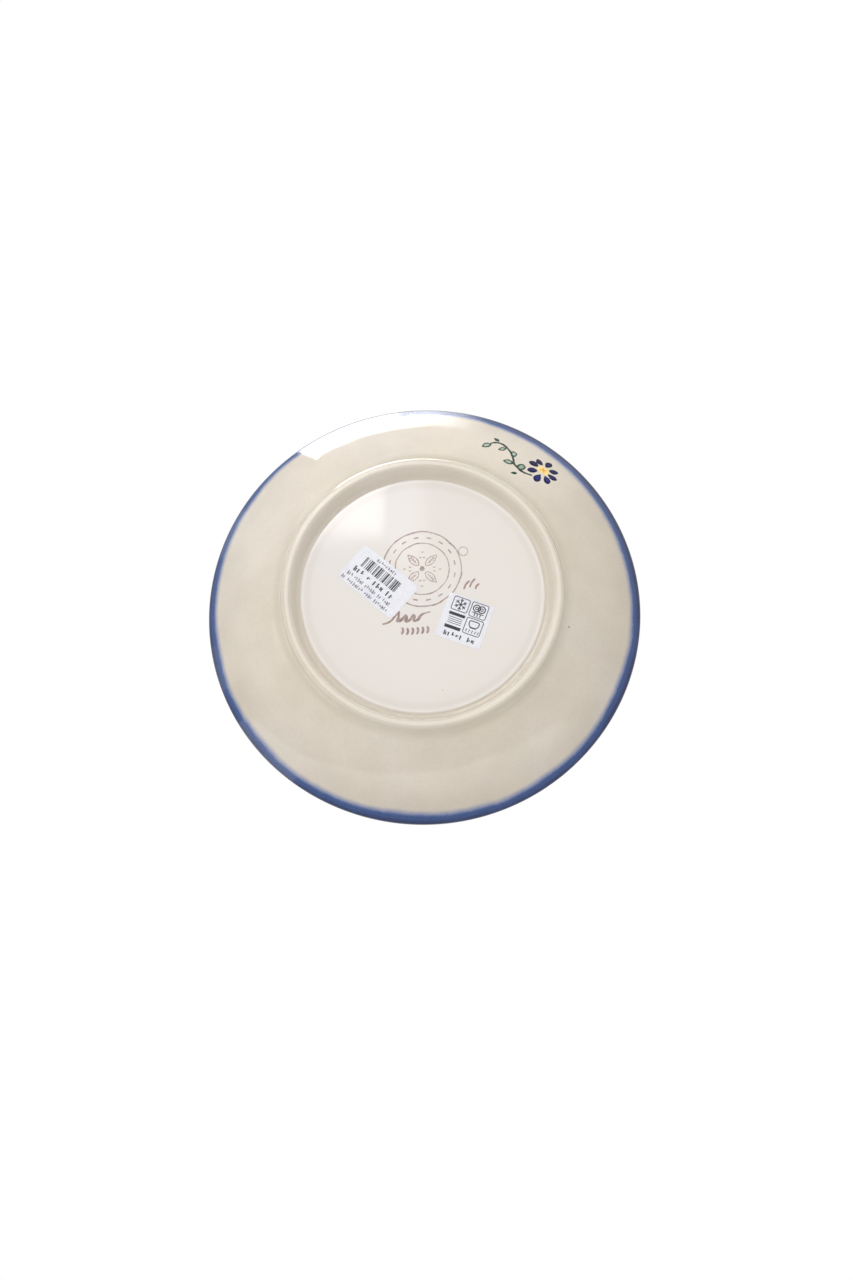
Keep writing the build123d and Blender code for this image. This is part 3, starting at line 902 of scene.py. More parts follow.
def centre_pad(pad, c, radius, thick, seed, points=8, star=0.14, long=0.0, turn=0.0):
    """Round flower centre, drawn out a little between the petals. v is 0 in the
    middle and 1 at the rim."""
    n, m = 48, 7
    rows, uv = [], []
    for i in range(n):
        a = 2 * math.pi * i / n
        rr = radius * (1 + star * math.cos(points * a + 0.5) + 0.04 * math.sin(3 * a + seed) + long * math.cos(2 * (a - turn)))
        row, ruv = [], []
        for j in range(m + 1):
            t = max(0.02, j / m)
            row.append((c[0] + rr * t * math.cos(a), c[1] + rr * t * math.sin(a)))
            ruv.append((i / n, t if j else 0.0))
        rows.append(row)
        uv.append(ruv)
    first = len(pad.verts)
    pad.grid(rows, uv, lambda u, v: thick * (0.3 + 0.7 * math.sqrt(max(0.0, 1 - v * v))), -0.02, wrap=True, seed=seed)


def close_centre(pad, first, n, m):
    """Fills the pinhole in the middle of a centre pad on both sides."""
    top = [first + i * (m + 1) for i in range(n)]
    low = [first + n * (m + 1) + i * (m + 1) for i in range(n)]
    pad.faces = [f for f in pad.faces if not (set(f) <= set(top + low))]
    pad.faces.append(top)
    pad.faces.append(low[::-1])


pad = Strokes(place_under)
first = 0
centre_pad(pad, (DC[0] + 0.05, DC[1] + 0.05), 2.45, 0.10, 3.0, long=0.16, turn=0.6)
close_centre(pad, first, 48, 7)
finish(pad.make("back_daisy_centre_brushed"), M_YELLOW, ["back_daisy_centre"])

STEM = [(47.6, -55.0), (46.5, -55.3), (45.3, -55.6), (43.9, -56.1), (42.5, -57.0), (41.3, -58.5), (40.2, -59.9),
        (39.6, -61.1), (39.7, -62.4), (39.5, -64.1), (39.1, -66.1), (38.5, -67.8), (37.6, -69.3), (36.7, -70.6),
        (35.6, -71.8), (34.4, -72.5), (33.1, -72.8), (31.8, -72.7), (30.6, -72.3), (29.6, -71.6)]
# inner end, outer end, width, bend, kind
LEAVES = [
    ((29.9, -71.4), (25.9, -69.2), 2.7, 0.05, "outlined"),
    ((33.8, -73.8), (31.4, -75.8), 1.8, 0.0, "solid"),
    ((36.6, -69.6), (33.1, -68.3), 1.95, 0.0, "outlined"),
    ((38.7, -66.5), (41.4, -67.0), 3.3, 0.05, "outlined"),
    ((39.3, -60.6), (35.0, -61.7), 2.6, 0.05, "outlined"),
    ((41.2, -57.8), (44.6, -60.3), 3.3, 0.0, "hatched"),
    ((40.9, -55.05), (38.0, -54.9), 1.45, 0.0, "solid"),
]


def leaf_outline(i, o, w, bend, shape, shrink=0.2, n=30):
    """Closed loop round a leaf, a little inside its edge."""
    a, b = np.array(i, float), np.array(o, float)
    d = b - a
    size = np.linalg.norm(d)
    d = d / size
    nrm = np.array([-d[1], d[0]])
    loop = []
    for k in range(n):
        t = k / n * 2
        side = 1 if t < 1 else -1
        f = t if t < 1 else 2 - t
        f = 0.04 + 0.92 * f
        half = max(0.0, w / 2 * shape(f) - shrink)
        q = a + d * size * f + nrm * (bend * size * math.sin(math.pi * f) + side * half)
        loop.append((q[0], q[1]))
    return loop


def paint_leaf(fill, line, i, o, w, bend, kind, seed, lw=0.6):
    shape = round_shape if kind == "hatched" else leaf_shape
    if kind == "solid":
        brush_blob(line, i, o, w, 0.085, shape, seed=seed, bend=bend, rough=0.08)
        return
    brush_blob(fill, i, o, w * 0.93, 0.06, shape, seed=seed, bend=bend, rough=0.03)
    brush_line(line, leaf_outline(i, o, w, bend, shape), lw, 0.085, n=64, m=5, closed=True, rough=0.22, seed=seed)
    if kind == "hatched":
        a, b = np.array(i, float), np.array(o, float)
        d = (b - a) / np.linalg.norm(b - a)
        nrm = np.array([-d[1], d[0]])
        for t in (0.3, 0.5, 0.7):
            m0 = a + (b - a) * t
            h = w / 2 * shape(t) * 0.72
            brush_line(line, [tuple(m0 + nrm * h + d * 0.25), tuple(m0 - nrm * h - d * 0.25)], lw * 0.5, 0.08, n=12, m=3, seed=seed + t)


fill, line = Strokes(place_under), Strokes(place_under)
brush_line(line, STEM, 1.02, 0.08, n=110, m=6, ends=0.45, rough=0.20, seed=2.0)
for k, (i, o, w, bend, kind) in enumerate(LEAVES):
    paint_leaf(fill, line, i, o, w, bend, kind, k + 11.0)
finish(line.make("back_vine_lines_brushed"), M_GREEN_LINE, ["back_vine"])
finish(fill.make("back_vine_leaf_fill_brushed"), M_GREEN, None)

# ======================================================================
# Wreath on the eating side
# ======================================================================
WR = 79.6
petals, centres, stems, leaves = (Strokes(place_front) for _ in range(4))
N_D = 6


def pol(r, a):
    return (r * math.cos(rad(a)), r * math.sin(rad(a)))


for k in range(N_D):
    base_a = 360 / N_D * k
    cx, cy = pol(WR, base_a)
    for j in range(8):
        a = base_a + 45 * j + 4 * noise1(j + k, 5.0)
        long = 6.4 + 0.5 * noise1(j * 1.7 + k, 2.0)
        brush_blob(
            petals,
            (cx + 2.0 * math.cos(rad(a)), cy + 2.0 * math.sin(rad(a))),
            (cx + long * math.cos(rad(a)), cy + long * math.sin(rad(a))),
            2.8 + 0.25 * noise1(j + 2.3 * k, 1.0),
            0.11,
            petal(1.25),
            n=20,
            m=10,
            seed=k * 8 + j + 1.0 + (0.15, 0.55, 0.9, 0.3, 0.75, 0.2, 0.85, 0.4)[(j + 3 * k) % 8],
            bend=0.05 * noise1(j + k * 3.1, 8.0),
        )
    first = len(centres.verts)
    centre_pad(centres, (cx, cy), 2.05, 0.10, k + 1.0)
    top = [first + i * 8 for i in range(48)]
    low = [first + 48 * 8 + i * 8 for i in range(48)]
    both = set(top + low)
    centres.faces = [f for f in centres.faces if not (set(f) <= both)]
    centres.faces += [top, low[::-1]]
    stem = [pol(r, base_a + a) for r, a in ((79.0, 6.6), (77.0, 12), (76.6, 17), (78.6, 23), (81.4, 29), (82.6, 35), (82.2, 41), (80.4, 48), (79.6, 53.4))]
    brush_line(stems, stem, 0.74, 0.08, n=90, m=5, ends=0.4, rough=0.2, seed=k + 3.0)
    for j, (i, o, w) in enumerate(
        (
            ((76.8, 13.0), (73.7, 15.2), 2.3),
            ((77.4, 19.5), (80.4, 17.3), 2.5),
            ((79.3, 25.0), (76.2, 27.4), 2.5),
            ((81.7, 30.5), (84.9, 29.3), 2.3),
            ((82.4, 37.0), (79.2, 38.6), 2.5),
            ((81.6, 43.5), (84.4, 45.6), 2.3),
            ((80.2, 49.0), (77.2, 50.5), 2.1),
        )
    ):
        kind = "solid" if j == 6 else "hatched" if j == 3 else "outlined"
        paint_leaf(leaves, stems, pol(i[0], base_a + i[1]), pol(o[0], base_a + o[1]), w, 0.0, kind, j + 7.0 * k)
finish(petals.make("front_daisy_petals_brushed"), M_NAVY, ["front_daisy_petals"])
finish(centres.make("front_daisy_centres_brushed"), M_YELLOW, ["front_daisy_centres"])
finish(stems.make("front_vine_stems_brushed"), M_GREEN_LINE, ["front_vine"])
finish(leaves.make("front_vine_leaves_brushed"), M_GREEN, None)

# ======================================================================
# Stamp and brush marks on the base (generic, no lettering)
# ======================================================================
SC = (-0.2, -10.6)
pad = Strokes(place_base)
for radius, seed, width in ((16.65, 1.0, 0.6), (11.45, 2.0, 0.5)):
    pts = []
    for i in range(40):
        a = 2 * math.pi * i / 40
        rr = radius * (1 + 0.010 * noise1(a * 0.9, seed) + 0.004 * math.sin(11 * a + seed))
        pts.append((SC[0] + rr * math.cos(a), SC[1] + rr * math.sin(a)))
    brush_line(pad, pts, width, 0.03, n=180, m=4, closed=True, rough=0.25, seed=seed, bottom=-0.01)
for k in range(16):
    a = 22.5 * k + 11.25
    q = [(SC[0] + 14.05 * math.cos(rad(a + d)), SC[1] + 14.05 * math.sin(rad(a + d))) for d in (-4.4, 0, 4.4)]
    brush_line(pad, q, 0.62, 0.03, n=14, m=4, ends=0.7, rough=0.15, seed=k + 0.5, bottom=-0.01)
for k in range(4):
    a = 90 * k + 45
    q1, q2 = pol(1.9, a), pol(8.8, a)
    i, o = (SC[0] + q1[0], SC[1] + q1[1]), (SC[0] + q2[0], SC[1] + q2[1])
    brush_line(pad, leaf_outline(i, o, 3.2, 0.0, leaf_shape, 0.15), 0.42, 0.03, n=80, m=4, closed=True, rough=0.3, seed=k + 4.0, bottom=-0.01)
    q1, q2 = pol(3.2, a), pol(7.4, a)
    brush_line(pad, [(SC[0] + q1[0], SC[1] + q1[1]), (SC[0] + q2[0], SC[1] + q2[1])], 0.36, 0.03, n=16, m=3, rough=0.3, seed=k + 14.0, bottom=-0.01)
    for t in (4.2, 5.4, 6.5):
        c0 = pol(t, a)
        for side in (-1, 1):
            c1 = pol(t + 0.55, a + side * 7.0)
            brush_line(pad, [(SC[0] + c0[0], SC[1] + c0[1]), (SC[0] + c1[0], SC[1] + c1[1])], 0.28, 0.03, n=8, m=3, rough=0.2, seed=k + t, bottom=-0.01)
    # small sprigs between the leaves
    a = 90 * k
    for t, side in ((5.2, -1), (5.2, 1), (7.6, 0)):
        c0 = pol(t, a + side * 9)
        brush_line(pad, [(SC[0] + c0[0] - 0.5, SC[1] + c0[1] - 0.2), (SC[0] + c0[0], SC[1] + c0[1] + 0.35), (SC[0] + c0[0] + 0.6, SC[1] + c0[1] - 0.15)], 0.36, 0.03, n=12, m=3, rough=0.3, seed=k + t, bottom=-0.01)
ring = [(17.2 + 1.95 * math.cos(rad(20 * i)), -18.4 + 1.95 * math.sin(rad(20 * i))) for i in range(18)]
brush_line(pad, ring, 0.42, 0.03, n=48, m=4, closed=True, rough=0.2, seed=6.0, bottom=-0.01)
first = len(pad.verts)
centre_pad(pad, SC, 1.1, 0.03, 1.0, star=0.05)
top = [first + i * 8 for i in range(48)]
low = [first + 48 * 8 + i * 8 for i in range(48)]
both = set(top + low)
pad.faces = [f for f in pad.faces if not (set(f) <= both)] + [top, low[::-1]]
finish(pad.make("back_stamp_ink"), M_SEPIA, ["back_stamp"])

WAVE = [(-16.6, 13.9), (-14.6, 13.3), (-12.6, 12.0), (-11.0, 9.4), (-10.0, 8.6), (-9.9, 10.6), (-10.3, 12.4), (-8.6, 11.8), (-7.2, 10.2),
        (-6.6, 10.6), (-6.7, 12.6), (-5.2, 12.0), (-3.9, 10.2), (-3.3, 10.6), (-3.4, 12.4), (-1.8, 11.8), (-0.4, 9.8), (1.2, 9.0), (3.4, 8.4)]
pad = Strokes(place_base)
brush_line(pad, WAVE, 1.2, 0.03, n=150, m=5, ends=0.25, rough=0.35, seed=3.0, bottom=-0.01)
for k, (u, top) in enumerate(((-8.3, 15.2), (-6.2, 15.4), (-4.1, 15.3), (-2.0, 15.1), (0.1, 14.9), (2.2, 14.7))):
    brush_line(pad, [(u, top), (u + 0.35, top + 1.5), (u - 0.2, top + 3.1)], 1.0, 0.03, n=24, m=5, ends=0.35, rough=0.25, seed=k + 9.0, bottom=-0.01)
for k, (i, o) in enumerate((((19.9, -5.3), (17.4, -1.4)), ((22.3, -6.2), (19.9, -2.2)), ((24.0, -4.0), (22.3, -1.4)))):
    mid_pt = ((i[0] + o[0]) / 2 - 0.35, (i[1] + o[1]) / 2 - 0.2)
    brush_line(pad, [i, mid_pt, o], 0.85, 0.03, n=24, m=5, ends=0.3, rough=0.25, seed=k + 14.0, bottom=-0.01)
finish(pad.make("brush_marks_ink"), M_BRUSH, ["brush_marks"])


# ======================================================================
# Paper stickers
# ======================================================================
class Sticker:
    """A rectangle of label paper on the base. u runs along its long side, v
    across it, both in millimetres from one corner. It is pressed down, but its
    corners have lifted by a few hundredths and the paper is not quite flat."""

    def __init__(self, centre, angle, size_u, size_v, corner, lift):
        self.c, self.su, self.sv, self.corner = centre, size_u, size_v, corner
        self.ax = (math.cos(rad(angle)), math.sin(rad(angle)))
        self.ay = (-self.ax[1], self.ax[0])
        self.lift = lift

    def xy(self, u, v):
        a, b = u - self.su / 2, v - self.sv / 2
        return (self.c[0] + a * self.ax[0] + b * self.ay[0], self.c[1] + a * self.ax[1] + b * self.ay[1])

    def height(self, u, v):
        """Height of the paper's face above the base."""
        h = 0.13
        h += 0.012 * math.sin(u * 0.55 + 0.8) * math.sin(v * 0.6 + 1.7)
        for (cu, cv), amount in zip(((0, 0), (self.su, 0), (self.su, self.sv), (0, self.sv)), self.lift):
            d = math.hypot(u - cu, v - cv)
            h += amount * max(0.0, 1 - d / 6.5) ** 2
        return h

    def sheet(self, name):
        nu, nv = 60, 40
        place = self.place
        pad = Strokes(lambda x, y, h: (x, y, BASE_Z - h))
        rows, uv, heights = [], [], {}
        k = self.corner
        for i in range(nu + 1):
            u = self.su * i / nu
            # rounded corners: the ends of each line pull in
            e = min(u, self.su - u)
            cut = k - math.sqrt(max(0.0, k * k - (k - e) ** 2)) if e < k else 0.0
            row, ruv = [], []
            for j in range(nv + 1):
                v = cut + (self.sv - 2 * cut) * j / nv
                row.append(self.xy(u, v))
                ruv.append((u, v))
            rows.append(row)
            uv.append(ruv)
        pad.grid(rows, uv, lambda u, v: self.height(u, v), 0.0)
        # the back of a lifted corner lifts with it
        half = len(pad.verts) // 2
        for q in range(half):
            u, v = pad.u[q], pad.v[q]
            x, y, _ = pad.verts[half + q]
            pad.verts[half + q] = (x, y, BASE_Z - max(0.0, self.height(u, v) - 0.125))
        return pad.make(name, sharp=40)

    def place(self, u, v, h):
        x, y = self.xy(u, v)
        return (x, y, BASE_Z - self.height(u, v) - h)


def print_pad(sticker):
    return Strokes(lambda u, v, h: sticker.place(u, v, h))


def bar(pad, u0, v0, u1, v1, seed=0.0):
    n = max(2, int((u1 - u0) / 1.2) + 1)
    m = max(2, int((v1 - v0) / 1.2) + 1)
    rows = [[(u0 + (u1 - u0) * i / n, v0 + (v1 - v0) * j / m) for j in range(m + 1)] for i in range(n + 1)]
    uv = [[(i / n, -1 + 2 * j / m) for j in range(m + 1)] for i in range(n + 1)]
    pad.grid(rows, uv, lambda u, v: 0.012, -0.004, seed=seed)


def thin(pad, pts, width, closed=False, n=40):
    brush_line(pad, pts, width, 0.012, n=n, m=2, closed=closed, ends=0.9, rough=0.03, bottom=-0.004)


# ---- bar code sticker: bars and plain dashes where the lettering would be
price = Sticker((-18.8, -4.9), 39.8, 30.4, 18.2, 1.8, (0.10, 0.16, 0.08, 0.22))
finish(price.sheet("price_label_paper"), M_PAPER, ["price_label"])
pad = print_pad(price)
widths = [2, 1, 1, 3, 1, 2, 2, 1, 3, 1, 1, 2, 1, 3, 2, 1, 1, 2, 3, 1, 2, 1, 1, 3, 1, 2, 1, 1, 3, 2, 1, 2, 1, 1, 2, 3, 1, 1, 2, 1, 3, 1, 2, 1, 1, 2]
total = sum(widths)
at_u = 4.8
unit = 19.2 / total
for k, w in enumerate(widths):
    if k % 2 == 0:
        bar(pad, at_u, 3.5, at_u + w * unit, 8.5)
    at_u += w * unit


def greek(pad, u0, u1, v0, v1, words, weight):
    """A line of print too small to read: upright strokes of changing height, in
    groups. They stand for lettering and spell nothing."""
    pitch = (u1 - u0) / (sum(words) + 0.9 * (len(words) - 1))
    u, k = u0, 0
    for count in words:
        for _ in range(count):
            low = (0.0, 0.22, 0.0, 0.3, 0.12, 0.0, 0.26)[k % 7]
            high = (1.0, 1.0, 0.74, 1.0, 0.86, 1.0, 0.7)[(k * 3) % 7]
            h = v1 - v0
            bar(pad, u + 0.10 * pitch, v0 + low * h, u + (0.10 + weight) * pitch, v0 + high * h)
            if k % 3 != 1:
                low2, high2 = (0.3, 0.0, 0.45)[k % 3], (1.0, 0.55, 0.8)[(k // 2) % 3]
                bar(pad, u + (0.52) * pitch, v0 + low2 * h, u + (0.52 + weight * 0.8) * pitch, v0 + high2 * h)
            if k % 4 == 2:
                bar(pad, u + 0.10 * pitch, v0 + 0.42 * h, u + 0.8 * pitch, v0 + 0.56 * h)
            u += pitch
            k += 1
        u += 0.9 * pitch


greek(pad, 8.8, 19.6, 1.2, 2.6, [9], 0.26)
greek(pad, 3.2, 24.8, 9.5, 11.9, [3, 1, 3, 2], 0.34)
greek(pad, 2.4, 26.0, 13.0, 14.8, [3, 5, 6, 2, 4], 0.28)
greek(pad, 1.4, 26.8, 15.7, 17.4, [2, 8, 4, 7], 0.28)
finish(pad.make("price_label_print"), M_PRINT, None)

# ---- care sticker: four boxes with plain pictograms
care = Sticker((17.6, 12.4), 20.0, 19.7, 19.7, 0.25, (0.05, 0.14, 0.10, 0.08))
finish(care.sheet("care_label_paper"), M_PAPER, ["care_label"])
pad = print_pad(care)


def box_frame(u0, v0, u1, v1, k=0.7, w=0.34):
    pts = []
    for cu, cv, a0 in ((u1 - k, v0 + k, -90), (u1 - k, v1 - k, 0), (u0 + k, v1 - k, 90), (u0 + k, v0 + k, 180)):
        for a in (0, 30, 60, 90):
            pts.append((cu + k * math.cos(rad(a0 + a)), cv + k * math.sin(rad(a0 + a))))
    # even spacing, so that the spline keeps the straight sides straight
    full = []
    for p, q in zip(pts, pts[1:] + pts[:1]):
        steps = max(1, int(math.dist(p, q) / 0.5))
        full += [(p[0] + (q[0] - p[0]) * i / steps, p[1] + (q[1] - p[1]) * i / steps) for i in range(steps)]
    thin(pad, full, w, closed=True, n=len(full) * 2)


box_frame(2.6, 0.75, 9.5, 6.6)
box_frame(10.6, 0.6, 17.7, 7.0)
box_frame(10.6, 7.8, 17.8, 14.7)
# frost star
for k in range(6):
    a = 60 * k + 30
    c = (6.05, 3.7)
    tip = (c[0] + 2.65 * math.cos(rad(a)), c[1] + 2.65 * math.sin(rad(a)))
    thin(pad, [c, tip], 0.42, n=8)
    for turned in (-42, 42):
        m0 = (c[0] + 1.35 * math.cos(rad(a)), c[1] + 1.35 * math.sin(rad(a)))
        thin(pad, [m0, (m0[0] + 1.1 * math.cos(rad(a + turned)), m0[1] + 1.1 * math.sin(rad(a + turned)))], 0.34, n=6)
# two plates in a rack
for cu in (13.0, 15.2):
    thin(pad, [(cu + 1.45 * math.cos(rad(24 * i)), 3.0 + 1.45 * math.sin(rad(24 * i))) for i in range(15)], 0.5, closed=True, n=60)
    thin(pad, [(cu + 0.55 * math.cos(rad(24 * i)), 3.0 + 0.55 * math.sin(rad(24 * i))) for i in range(15)], 0.4, closed=True, n=40)
bar(pad, 11.6, 4.9, 16.7, 5.25)
for u in (12.7, 13.9, 15.1):
    bar(pad, u, 5.2, u + 0.42, 6.5)
# oven: bars over and under fine lines
bar(pad, 2.6, 7.7, 9.6, 9.0)
bar(pad, 2.6, 13.5, 9.6, 14.9)
for v in (9.75, 10.6, 11.45, 12.3):
    bar(pad, 3.1, v, 9.1, v + 0.26)
# bowl and heat
bowl = [(12.2, 9.0), (12.9, 8.85), (14.2, 8.8), (15.5, 8.85), (16.2, 9.0), (16.3, 9.8), (16.1, 10.8), (15.4, 11.5), (14.2, 11.7), (13.0, 11.5), (12.3, 10.8), (12.1, 9.8)]
thin(pad, bowl, 0.44, closed=True, n=72)
bar(pad, 12.9, 11.4, 15.5, 12.0)
for u in (11.7, 13.0, 14.3, 15.6, 16.8):
    thin(pad, [(u, 12.7), (u + 0.35, 13.1), (u - 0.05, 13.5), (u + 0.3, 13.95)], 0.26, n=14)
greek(pad, 3.2, 17.0, 16.1, 18.2, [5, 2], 0.32)
finish(pad.make("care_label_print"), M_PRINT, None)

# ======================================================================
# Camera: below the plate, looking up at its underside
# ======================================================================
cam_data = bpy.data.cameras.new("camera")
cam = bpy.data.objects.new("camera", cam_data)
bpy.context.scene.collection.objects.link(cam)
cam_data.sensor_fit = "AUTO"
cam_data.sensor_width = 36.0
cam_data.lens = 955.7 / 1280 * 36.0
cam_data.clip_start = 0.01
right_v = Vector((0.99972243, -0.00596654, 0.02279173))
down_v = Vector((0.0, 0.96740049, 0.25325145))
fwd_v = Vector((-0.02355976, -0.25318115, 0.96713197))
up_v, back_v = -down_v, -fwd_v
m = Matrix.Identity(4)
for i in range(3):
    m[i][0], m[i][1], m[i][2] = right_v[i], up_v[i], back_v[i]
m.translation = Vector((11.20715629, 121.20817479, -378.33133881)) * MM
cam.matrix_world = m
bpy.context.scene.camera = cam

# ======================================================================
# Stage: pale floor, white surround, soft light
# ======================================================================
scene = bpy.context.scene
scene.view_settings.view_transform = "Standard"
scene.view_settings.look = "None"

AMBIENT = 0.772
world = bpy.data.worlds.new("studio")
scene.world = world
world.use_nodes = True
wt = world.node_tree
wt.nodes.clear()
wo = wt.nodes.new("ShaderNodeOutputWorld")
lp = wt.nodes.new("ShaderNodeLightPath")
bg_cam = wt.nodes.new("ShaderNodeBackground")
bg_cam.inputs[0].default_value = (1, 1, 1, 1)
bg_cam.inputs[1].default_value = 1.0
bg_light = wt.nodes.new("ShaderNodeBackground")
bg_light.inputs[0].default_value = (1.0, 0.995, 0.985, 1)
# the room is a little darker on one side
wc = wt.nodes.new("ShaderNodeTexCoord")
wd = wt.nodes.new("ShaderNodeVectorMath")
wd.operation = "DOT_PRODUCT"
wd.inputs[1].default_value = tuple(Vector((0.85, 0.45, -0.25)).normalized())
wt.links.new(wc.outputs["Generated"], wd.inputs[0])
wr = wt.nodes.new("ShaderNodeMapRange")
for key, value in (("From Min", 0.30), ("From Max", 0.95), ("To Min", AMBIENT), ("To Max", AMBIENT * 0.96)):
    wr.inputs[key].default_value = value
wt.links.new(wd.outputs["Value"], wr.inputs["Value"])
wt.links.new(wr.outputs[0], bg_light.inputs[1])
mixw = wt.nodes.new("ShaderNodeMixShader")
wt.links.new(lp.outputs["Is Camera Ray"], mixw.inputs[0])
wt.links.new(bg_light.outputs[0], mixw.inputs[1])
wt.links.new(bg_cam.outputs[0], mixw.inputs[2])
wt.links.new(mixw.outputs[0], wo.inputs[0])


def camera_side(n, above):
    """1 when the camera is on the given side of the table, else 0."""
    vt = n.add("ShaderNodeVectorTransform", vector_type="POINT", convert_from="CAMERA", convert_to="WORLD")
    vt.inputs[0].default_value = (0, 0, 0)
    sep = n.add("ShaderNodeSeparateXYZ")
    n.put(vt.outputs[0], sep.inputs[0])
    return n.math("GREATER_THAN" if above else "LESS_THAN", sep.outputs[2], 0.0)


def stage_mesh(name, verts, faces, mat):
    mesh = bpy.data.meshes.new(name)
    mesh.from_pydata(verts, [], faces)
    mesh.update()
    obj = bpy.data.objects.new(name, mesh)
    scene.collection.objects.link(obj)
    obj.data.materials.append(mat)
    return obj


# The floor the plate stands on is there for cameras above it. The main camera
# is under the table plane, so for it the floor is clear.
n = Nodes("floor_pale")
mm, x, y, z, r = n.position()
dif = n.add("ShaderNodeBsdfDiffuse")
n.put(n.mix(n.range(n.noise(0.01, 3.0, 0.5, mm), 0.3, 0.7), (0.84, 0.835, 0.825, 1), (0.86, 0.855, 0.845, 1)), dif.inputs[0])
clear = n.add("ShaderNodeBsdfTransparent")
mx = n.add("ShaderNodeMixShader")
n.put(n.math("MULTIPLY", camera_side(n, True), n.range(r, 1700.0, 500.0)), mx.inputs[0])
n.put(clear.outputs[0], mx.inputs[1])
n.put(dif.outputs[0], mx.inputs[2])
n.put(mx.outputs[0], n.out.inputs[0])
floor_ring = [(3.0 * math.cos(2 * math.pi * i / 96), 3.0 * math.sin(2 * math.pi * i / 96), -0.00004) for i in range(96)]
stage_mesh("floor", floor_ring, [tuple(range(96))], n.mat)


QUAD = [(0, 1, 2, 3)]


def card(name, verts, faces, strength, above=False, colour=(1, 1, 1, 1), fades=()):
    """A glowing studio card. Each fade is (axis, from, to) in millimetres: the
    glow falls from full at the first to nothing at the second."""
    n = Nodes(name)
    mm, x, y, z, r = n.position()
    glow = n.math("MULTIPLY", camera_side(n, above), strength)
    for axis, lo, hi in fades:
        glow = n.math("MULTIPLY", glow, n.range((x, y, z)[axis], lo, hi, 1.0, 0.0))
    e = n.add("ShaderNodeEmission")
    e.inputs[0].default_value = colour
    n.put(glow, e.inputs[1])
    t = n.add("ShaderNodeBsdfTransparent")
    add = n.add("ShaderNodeAddShader")
    n.put(e.outputs[0], add.inputs[0])
    n.put(t.outputs[0], add.inputs[1])
    n.put(add.outputs[0], n.out.inputs[0])
    n.mat.cycles.emission_sampling = "FRONT_BACK"
    obj = stage_mesh(name, verts, faces, n.mat)
    obj.visible_camera = False
    obj.visible_shadow = False
    return obj


def facing(direction, distance, width, height):
    """Corners of a card that looks at the plate from a direction."""
    d = Vector(direction).normalized()
    side = d.cross(Vector((0, 0, 1))).normalized()
    up = side.cross(d)
    c = d * distance
    return [tuple(c + side * width / 2 * i + up * height / 2 * j) for i, j in ((-1, -1), (1, -1), (1, 1), (-1, 1))]


# Cards on the underside's side, for the main camera
card(
    "softbox_top",
    [(-0.441, -0.8, 0.026), (-0.415, -0.8, 0.044), (-0.392, -0.8, 0.047), (-0.24, -0.8, 0.047), (-0.03, -0.8, 0.047), (-0.03, -0.8, 0.32), (-0.485, -0.8, 0.32), (-0.469, -0.8, 0.166)],
    [(0, 1, 2, 3, 4, 5, 6, 7)],
    6.7,
    fades=[(2, 190.0, 300.0)],
)
card(
    "softbox_top_end",
    [(-0.03, -0.8, 0.03), (0.24, -0.8, 0.03), (0.24, -0.8, 0.32), (-0.03, -0.8, 0.32)],
    QUAD,
    6.7,
    fades=[(0, -30.0, 195.0), (2, 190.0, 300.0), (2, 80.0, 34.0)],
)
card("softbox_top_spill", [(-0.42, -0.8, -0.06), (0.3, -0.8, -0.06), (0.3, -0.8, 0.06), (-0.42, -0.8, 0.06)], QUAD, 0.6, fades=[(2, 60.0, -40.0), (0, 60.0, 290.0)])
card("key_top_left", facing((-0.40, -0.68, -0.62), 1.0, 0.5, 0.5), QUAD, 1.4, colour=(1.0, 0.99, 0.975, 1))
card("glow_top_right", [(-0.1, -0.8, -0.3), (0.9, -0.8, -0.3), (0.9, -0.8, 0.5), (-0.1, -0.8, 0.5)], QUAD, 0.62, fades=[(0, 480.0, 850.0), (0, 120.0, -80.0), (2, -40.0, -280.0), (2, 30.0, 150.0)])
card(
    "table_card_left",
    [(-0.8, 0.30, 0.5), (-0.8, 0.30, -0.14), (-0.8, 0.36, -0.228), (-0.8, 0.51, -0.306), (-0.8, 0.8, -0.48), (-0.8, 0.8, 0.5)],
    [(0, 1, 2, 3, 4, 5)],
    0.8,
)
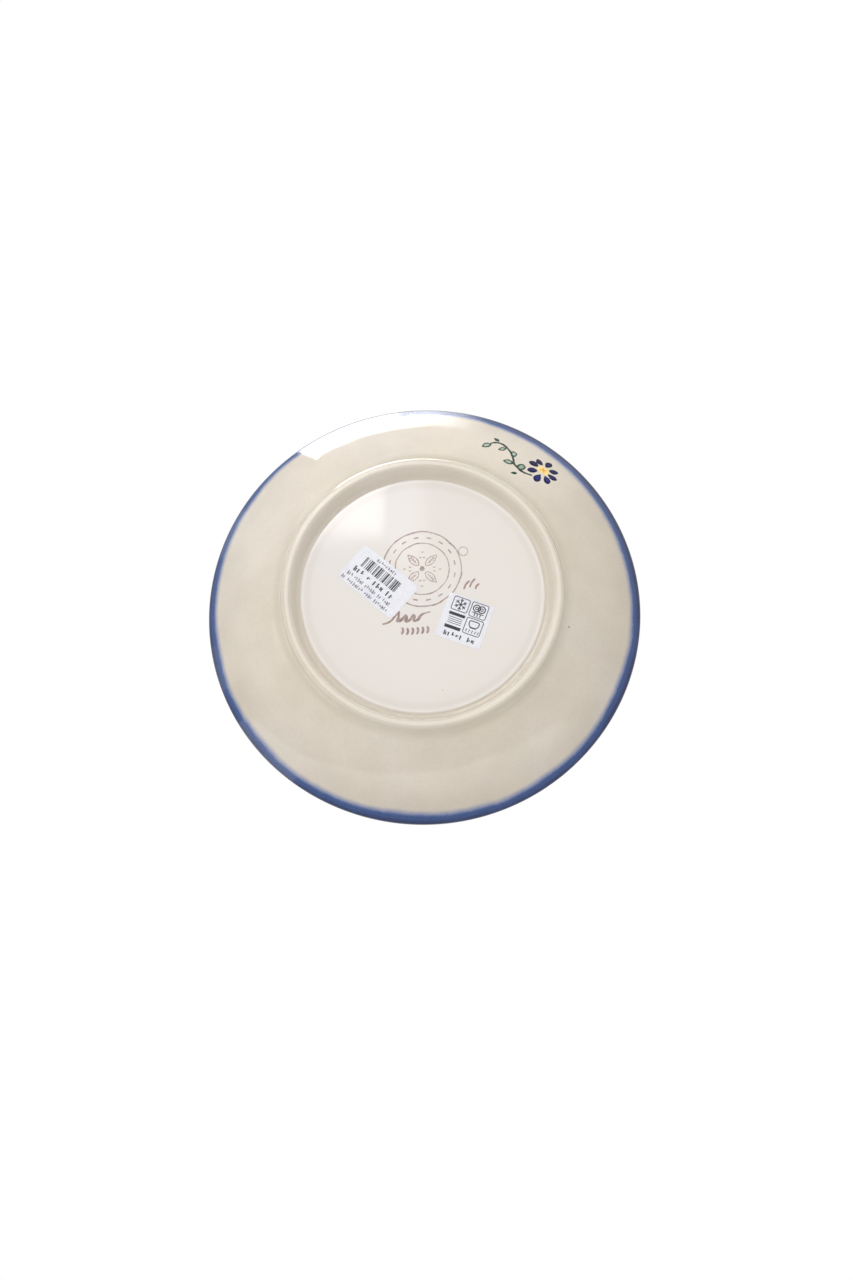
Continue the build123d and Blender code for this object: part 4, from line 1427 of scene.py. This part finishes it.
card(
    "table_card",
    [
        (-0.8, 0.8, 0.5), (-0.8, 0.8, -0.48), (-0.195, 0.8, -0.502), (0.177, 0.8, -0.552), (0.8, 0.8, -0.68), (0.8, 0.8, 0.5),
        (0.8, 0.486, -0.455), (0.8, 0.289, -0.194), (0.8, 0.286, 0.5),
    ],
    [(0, 1, 2, 3, 4, 5), (5, 4, 6, 7, 8)],
    0.70,
    fades=[(2, -470.0, -230.0)],
)
card("patch_rim_left", [(-0.8, -0.69, 0.04), (-0.8, -0.60, -0.03), (-0.8, -0.48, -0.04), (-0.8, -0.41, 0.03), (-0.8, -0.45, 0.2), (-0.8, -0.7, 0.2)], [(0, 1, 2, 3, 4, 5)], 0.35)
card("patch_left", [(-0.8, -0.05, 0.3), (-0.8, -0.04, -0.16), (-0.8, 0.13, -0.16), (-0.8, 0.16, 0.3)], QUAD, 0.4)
card("patch_low_left", [(-0.8, -0.12, -0.40), (-0.8, 0.14, -0.43), (-0.8, 0.10, -0.72), (-0.8, -0.11, -0.66)], QUAD, 1.0)
card("patch_near_ring", [(-0.62, -0.8, -0.14), (-0.44, -0.8, -0.17), (-0.47, -0.8, -0.34), (-0.6, -0.8, -0.44), (-0.8, -0.8, -0.33)], [(0, 1, 2, 3, 4)], 0.25)
# What the flat base mirrors: a pale pane near the camera
card("pane_front", [(-0.55, -0.75, -1.0), (-0.07, -0.75, -1.0), (-0.07, -0.36, -1.0), (-0.55, -0.36, -1.0)], QUAD, 4.6, fades=[(0, -105.0, -70.0), (1, -440.0, -380.0)])
card("pane_stripe", [(-0.075, -0.7, -1.0), (-0.02, -0.7, -1.0), (-0.02, -0.30, -1.0), (-0.075, -0.30, -1.0)], QUAD, 1.2, fades=[(0, -45.0, -20.0), (1, -400.0, -310.0)])

# Soft boxes over the table, for cameras above it
card("softbox_over", facing((-0.5, -0.6, 1.0), 1.3, 0.8, 0.6), QUAD, 7.0, above=True)
card("softbox_side", facing((0.9, 0.3, 0.7), 1.2, 0.5, 0.8), QUAD, 2.0, above=True)
